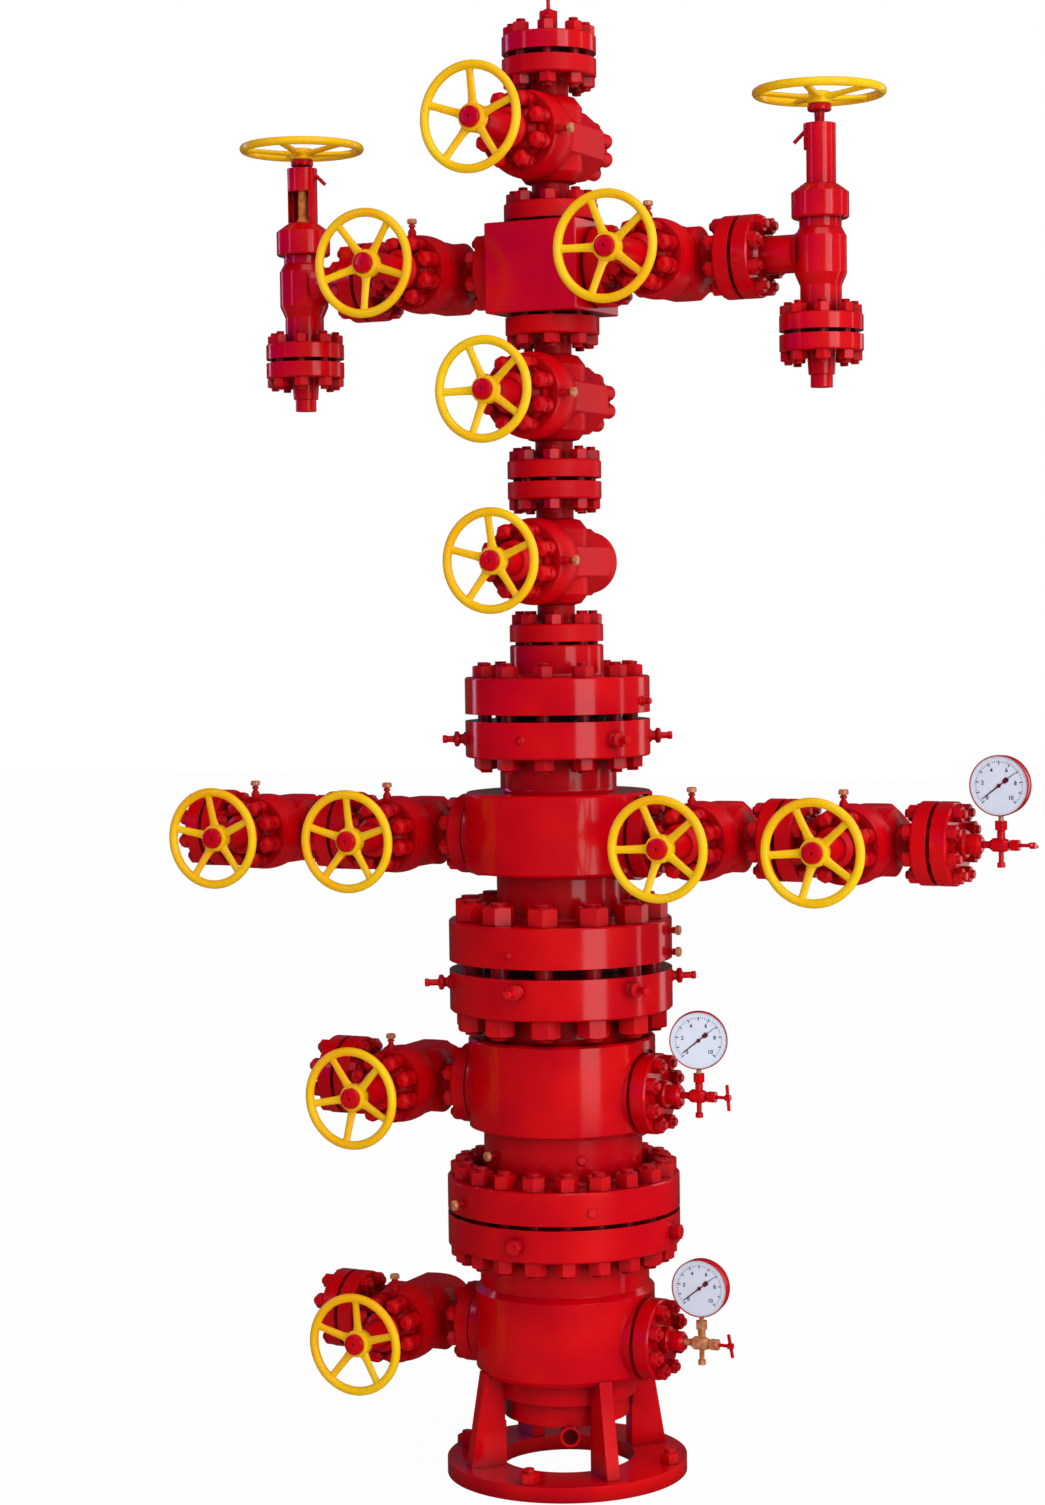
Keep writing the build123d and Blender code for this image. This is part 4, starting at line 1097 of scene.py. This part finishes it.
# The scale goes clockwise from its zero, with angles counted from the right, in degrees
zero_angle = 225.0
sweep = 270.0
scale_parts = 10
ticks_in_part = 5
tick_reach = 61.0
number_reach = 42.0
number_size = 14.0
number_half_height = 0.15
number_thickening = 0.35
number_lift = 0.1
ticks = []
for n in range(scale_parts * ticks_in_part + 1):
    angle = zero_angle - sweep * n / (scale_parts * ticks_in_part)
    length, half_width = (4.5, 0.55) if n % ticks_in_part else (9.0, 1.3)
    ticks.append(bar_along(angle, tick_reach - length, tick_reach, half_width, half_width))
tick_mesh = thin_plates("dial_ticks", ticks, 0.25)


def dial_number(text, x, y):
    """A number printed on the dial, as a mesh in metres."""
    curve = bpy.data.curves.new("dial_number", "FONT")
    curve.body = text
    curve.size = number_size * mm
    curve.align_x = "CENTER"
    curve.align_y = "CENTER"
    curve.extrude = number_half_height * mm
    curve.offset = number_thickening * mm
    holder = bpy.data.objects.new("dial_number", curve)
    mesh = evaluated_mesh(holder)
    bpy.data.objects.remove(holder)
    mesh.transform(Matrix.Translation(spot(x, y, dial_face + number_lift)))
    return mesh


numbers = []
for n in range(0, scale_parts + 1, 2):
    angle = radians(zero_angle - sweep * n / scale_parts)
    numbers.append(dial_number(str(n), number_reach * cos(angle), number_reach * sin(angle)))

# The pointer rests near the scale's start: a thin needle, and a broad tail behind the pivot
pointer_angle = 218.0
pointer_outlines = [
    bar_along(pointer_angle, start, end, start_half, end_half)
    for start, end, start_half, end_half in (
        (0.0, 54.0, 2.0, 1.0),
        (-14.0, 0.0, 1.6, 1.6),
        (-25.0, -14.0, 6.5, 5.0),
        (-29.0, -25.0, 3.5, 6.5),
        (-52.0, -29.0, 0.6, 0.9),
    )
]
pointer = thin_plates("pointer", pointer_outlines, 1.4)
pivot = turned("gauge_pivot", [(5.0, dial_face), (5.0, 18.0), (4.0, 19.0), (1.0, 19.2)], 24)
gauge_socket = turned("gauge_socket", [(5.5, -140.0), (5.5, -60.0)], 20)
gauge_nipple = turned(
    "gauge_nipple", [(6.5, -100.0), (8.0, -99.0), (8.0, -88.0), (6.5, -86.0), (6.5, -74.0)], 24
)

gauge_rise = 146.0
outer_gauge_x = 1197.0
inner_gauge_x = 389.0
# Each gauge's x and the height of its arm, in millimetres, and its turn towards the right
gauges = (
    (outer_gauge_x, tubing_height, 0.0),
    (inner_gauge_x, spool_height, 22.0),
    (inner_gauge_x, head_height, 4.0),
)
cases, plates, inks, pointers, nipples = [], [], [], [], []
for x, height, turn in gauges:
    centre = spot(x, 0, height + gauge_rise)
    facing = aim(centre, (sin(radians(turn)), -cos(radians(turn)), 0))
    upright = aim(centre, up)
    cases += [(gauge_case, facing), (gauge_socket, upright)]
    nipples.append((gauge_nipple, upright))
    plates.append((dial_plate, facing))
    inks += [(mesh, facing) for mesh in (tick_mesh, *numbers)]
    pointers += [(pointer, facing), (pivot, facing)]
gather("gauge_cases", cases, "root", red_enamel, ("pressure_gauges",))
gather("gauge_dials", plates, "root", dial_white)
gather("gauge_print", inks, "root", dial_ink)
gather("gauge_pointers", pointers, "root", pointer_red)
gather("gauge_nipples", nipples, "root", brass)

# Needle valves under the gauges: the lowest is bare brass, the others are painted


def part_of_node(node, keep):
    """A copy of the faces of a CAD node whose height in metres passes a test."""
    bm = bmesh.new()
    bm.from_mesh(frame["nodes"][node].data)
    others = [face for face in bm.faces if not keep(face.calc_center_median().z)]
    bmesh.ops.delete(bm, geom=others, context="FACES")
    mesh = bpy.data.meshes.new(f"part_of_{node}")
    bm.to_mesh(mesh)
    bm.free()
    return mesh


brass_below = (head_height + spool_height) / 2 * mm
for name, slot, finish, keep in (
    ("bare_needle_valve", "brass_fitting", brass, lambda height: height < brass_below),
    ("painted_needle_valves", "red_enamel", red_enamel, lambda height: height >= brass_below),
):
    mesh = part_of_node("needle_valves", keep)
    gather(name, [(mesh, Matrix.Identity(4))], "root", finish, ("needle_valves",))

# Studio floor: white to the camera and pale cloth in the light. Shiny paint sees it as dark,
# which keeps its colour full

white = (1.0, 1.0, 1.0, 1.0)
floor_white = 0.97
floor_weave = 0.4
floor_half = 30.0
floor_level = -0.001
floor_material, floor_tree, floor_place = new_material("studio_floor")
rays = add_node(floor_tree, "ShaderNodeLightPath")
weave = add_node(
    floor_tree, "ShaderNodeTexNoise", {"Vector": floor_place, "Scale": 1 / floor_weave}
)
pale = add_node(
    floor_tree,
    "ShaderNodeMix",
    {"Factor": weave["Fac"], 6: hex_colour("#f4f4f4"), 7: hex_colour("#f8f8f8")},
    data_type="RGBA",
)
lit_cloth = add_node(floor_tree, "ShaderNodeBsdfDiffuse", {"Color": pale[2]})
dark_cloth = add_node(floor_tree, "ShaderNodeEmission", {"Color": white, "Strength": 0.03})
glow = add_node(floor_tree, "ShaderNodeEmission", {"Color": white, "Strength": 1.0})
seen = add_node(
    floor_tree, "ShaderNodeMath", {0: rays["Is Camera Ray"], 1: floor_white}, operation="MULTIPLY"
)
unseen_floor = add_node(
    floor_tree, "ShaderNodeMixShader", {0: rays["Is Glossy Ray"], 1: lit_cloth[0], 2: dark_cloth[0]}
)
whole_floor = add_node(
    floor_tree, "ShaderNodeMixShader", {0: seen[0], 1: unseen_floor[0], 2: glow[0]}
)
add_node(floor_tree, "ShaderNodeOutputMaterial", {"Surface": whole_floor[0]})
sides = ((-1, -1), (1, -1), (1, 1), (-1, 1))
floor_mesh = bpy.data.meshes.new("studio_floor")
floor_mesh.from_pydata(
    [(x * floor_half, y * floor_half, floor_level) for x, y in sides], [], [(0, 1, 2, 3)]
)
floor_mesh.materials.append(floor_material)
floor = bpy.data.objects.new("studio_floor", floor_mesh)
bpy.context.scene.collection.objects.link(floor)

# World: a white background, and a soft light that is strongest from the right front and fades
# towards the left back. Shiny paint sees a dark room in its place, a little lighter behind the
# tree, with a violet cloth hung high on the left, which turns the upper reds crimson

toward_key = (0.92, -0.33, 0.2)
toward_cloth = (-0.5, -0.5, 2.2)
violet = (0.5, 0.03, 0.9, 1.0)
world = bpy.data.worlds.new("studio")
bpy.context.scene.world = world
world.use_nodes = True
sky = world.node_tree
sky.nodes.clear()
rays = add_node(sky, "ShaderNodeLightPath")
direction = add_node(sky, "ShaderNodeTexCoord")["Generated"]
axes = add_node(sky, "ShaderNodeSeparateXYZ", {"Vector": direction})
key_side = add_node(
    sky, "ShaderNodeVectorMath", {0: direction, 1: toward_key}, operation="DOT_PRODUCT"
)
fading = add_node(
    sky, "ShaderNodeMapRange", {"Value": key_side["Value"], "From Min": -0.2, "To Max": 1.66}
)
soft_light = add_node(
    sky, "ShaderNodeBackground", {"Color": white, "Strength": fading["Result"]}
)
behind = add_node(
    sky,
    "ShaderNodeMapRange",
    {"Value": axes["Y"], "From Min": -0.2, "From Max": 0.5, "To Max": 0.05},
)
back_wall = add_node(sky, "ShaderNodeBackground", {"Color": white, "Strength": behind["Result"]})
cloth_side = add_node(
    sky, "ShaderNodeVectorMath", {0: direction, 1: toward_cloth}, operation="DOT_PRODUCT"
)
cloth_foot = add_node(
    sky,
    "ShaderNodeMapRange",
    {"Value": cloth_side["Value"], "From Min": 0.4, "From Max": 0.85, "To Max": 0.42},
)
cloth_top = add_node(
    sky,
    "ShaderNodeMapRange",
    {"Value": axes["Z"], "From Min": 0.3, "From Max": 0.55, "To Min": 1.0, "To Max": 0.0},
)
cloth_glow = add_node(
    sky,
    "ShaderNodeMath",
    {0: cloth_foot["Result"], 1: cloth_top["Result"]},
    operation="MULTIPLY",
)
violet_cloth = add_node(
    sky, "ShaderNodeBackground", {"Color": violet, "Strength": cloth_glow[0]}
)
dark_room = add_node(sky, "ShaderNodeAddShader", {0: back_wall[0], 1: violet_cloth[0]})
white_wall = add_node(sky, "ShaderNodeBackground", {"Color": white, "Strength": 1.0})
clear = add_node(
    sky,
    "ShaderNodeMath",
    {0: rays["Is Camera Ray"], 1: rays["Is Transmission Ray"]},
    operation="MAXIMUM",
)
unseen_sky = add_node(
    sky, "ShaderNodeMixShader", {0: rays["Is Glossy Ray"], 1: soft_light[0], 2: dark_room[0]}
)
whole_sky = add_node(
    sky, "ShaderNodeMixShader", {0: clear[0], 1: unseen_sky[0], 2: white_wall[0]}
)
add_node(sky, "ShaderNodeOutputWorld", {"Surface": whole_sky[0]})

# Lamps and camera

view_turn = radians(25.62)
view_tilt = radians(2.71)
view_roll = radians(-0.76)
view_distance = 7.793
view_height = 2.262


def round_stack(angle, distance, height):
    """A place in metres round the stack, its angle counted from the camera to the right."""
    heading = view_turn + radians(angle)
    return Vector((distance * sin(heading), -distance * cos(heading), height))


def softbox(name, place, target_height, width, height, brightness, colour=(1.0, 1.0, 1.0)):
    """A flat lamp that faces the stack's axis at a height. Brightness 1 looks white."""
    lamp = bpy.data.lights.new(name, "AREA")
    lamp.color = colour
    lamp.shape = "RECTANGLE"
    lamp.size = width
    lamp.size_y = height
    lamp.energy = brightness * pi * width * height
    holder = bpy.data.objects.new(name, lamp)
    facing = Vector((0, 0, target_height)) - place
    turn = facing.to_track_quat("-Z", "Y").to_matrix().to_4x4()
    holder.matrix_world = Matrix.Translation(place) @ turn
    bpy.context.scene.collection.objects.link(holder)


# White lamps face the middle of the stack. Pink ones stand high and face the tree, so mostly its
# upper half catches them. Each has its place, width, height and brightness
pink = (1.0, 0.55, 0.85)
away = 6.0
middle = 2.0
tree = 3.3
softbox("right_softbox", round_stack(34, away, 2.4), middle, 2.6, 6.0, 1.7)
softbox("far_right_softbox", round_stack(86, away, 2.4), middle, 0.5, 6.0, 1.2)
softbox("back_right_softbox", round_stack(127, away, 2.4), middle, 1.4, 6.0, 1.0)
softbox("far_left_softbox", round_stack(-124, away, 3.7), tree, 0.8, 4.2, 2.6, pink)
softbox("upper_left_softbox", round_stack(-62, away, 5.2), tree, 0.5, 3.2, 2.6, pink)
softbox("upper_right_softbox", round_stack(44, away, 5.0), tree, 0.45, 3.4, 2.6, pink)
softbox("top_softbox", round_stack(20, 3.0, 7.5), middle, 4.0, 3.0, 1.1)

picture_height = 1505
focal_pixels = 2986.3
shift_pixels = -35.6
camera_data = bpy.data.cameras.new("camera")
camera_data.sensor_fit = "VERTICAL"
camera_data.sensor_height = 36.0
camera_data.lens = camera_data.sensor_height * focal_pixels / picture_height
camera_data.shift_x = shift_pixels / picture_height
camera_data.clip_end = 100.0
camera = bpy.data.objects.new("camera", camera_data)
camera.matrix_world = (
    Matrix.Translation(round_stack(0, view_distance, view_height))
    @ Matrix.Rotation(view_turn, 4, "Z")
    @ Matrix.Rotation(pi / 2 - view_tilt, 4, "X")
    @ Matrix.Rotation(view_roll, 4, "Z")
)
bpy.context.scene.collection.objects.link(camera)
bpy.context.scene.camera = camera
bpy.context.scene.view_settings.view_transform = "Standard"
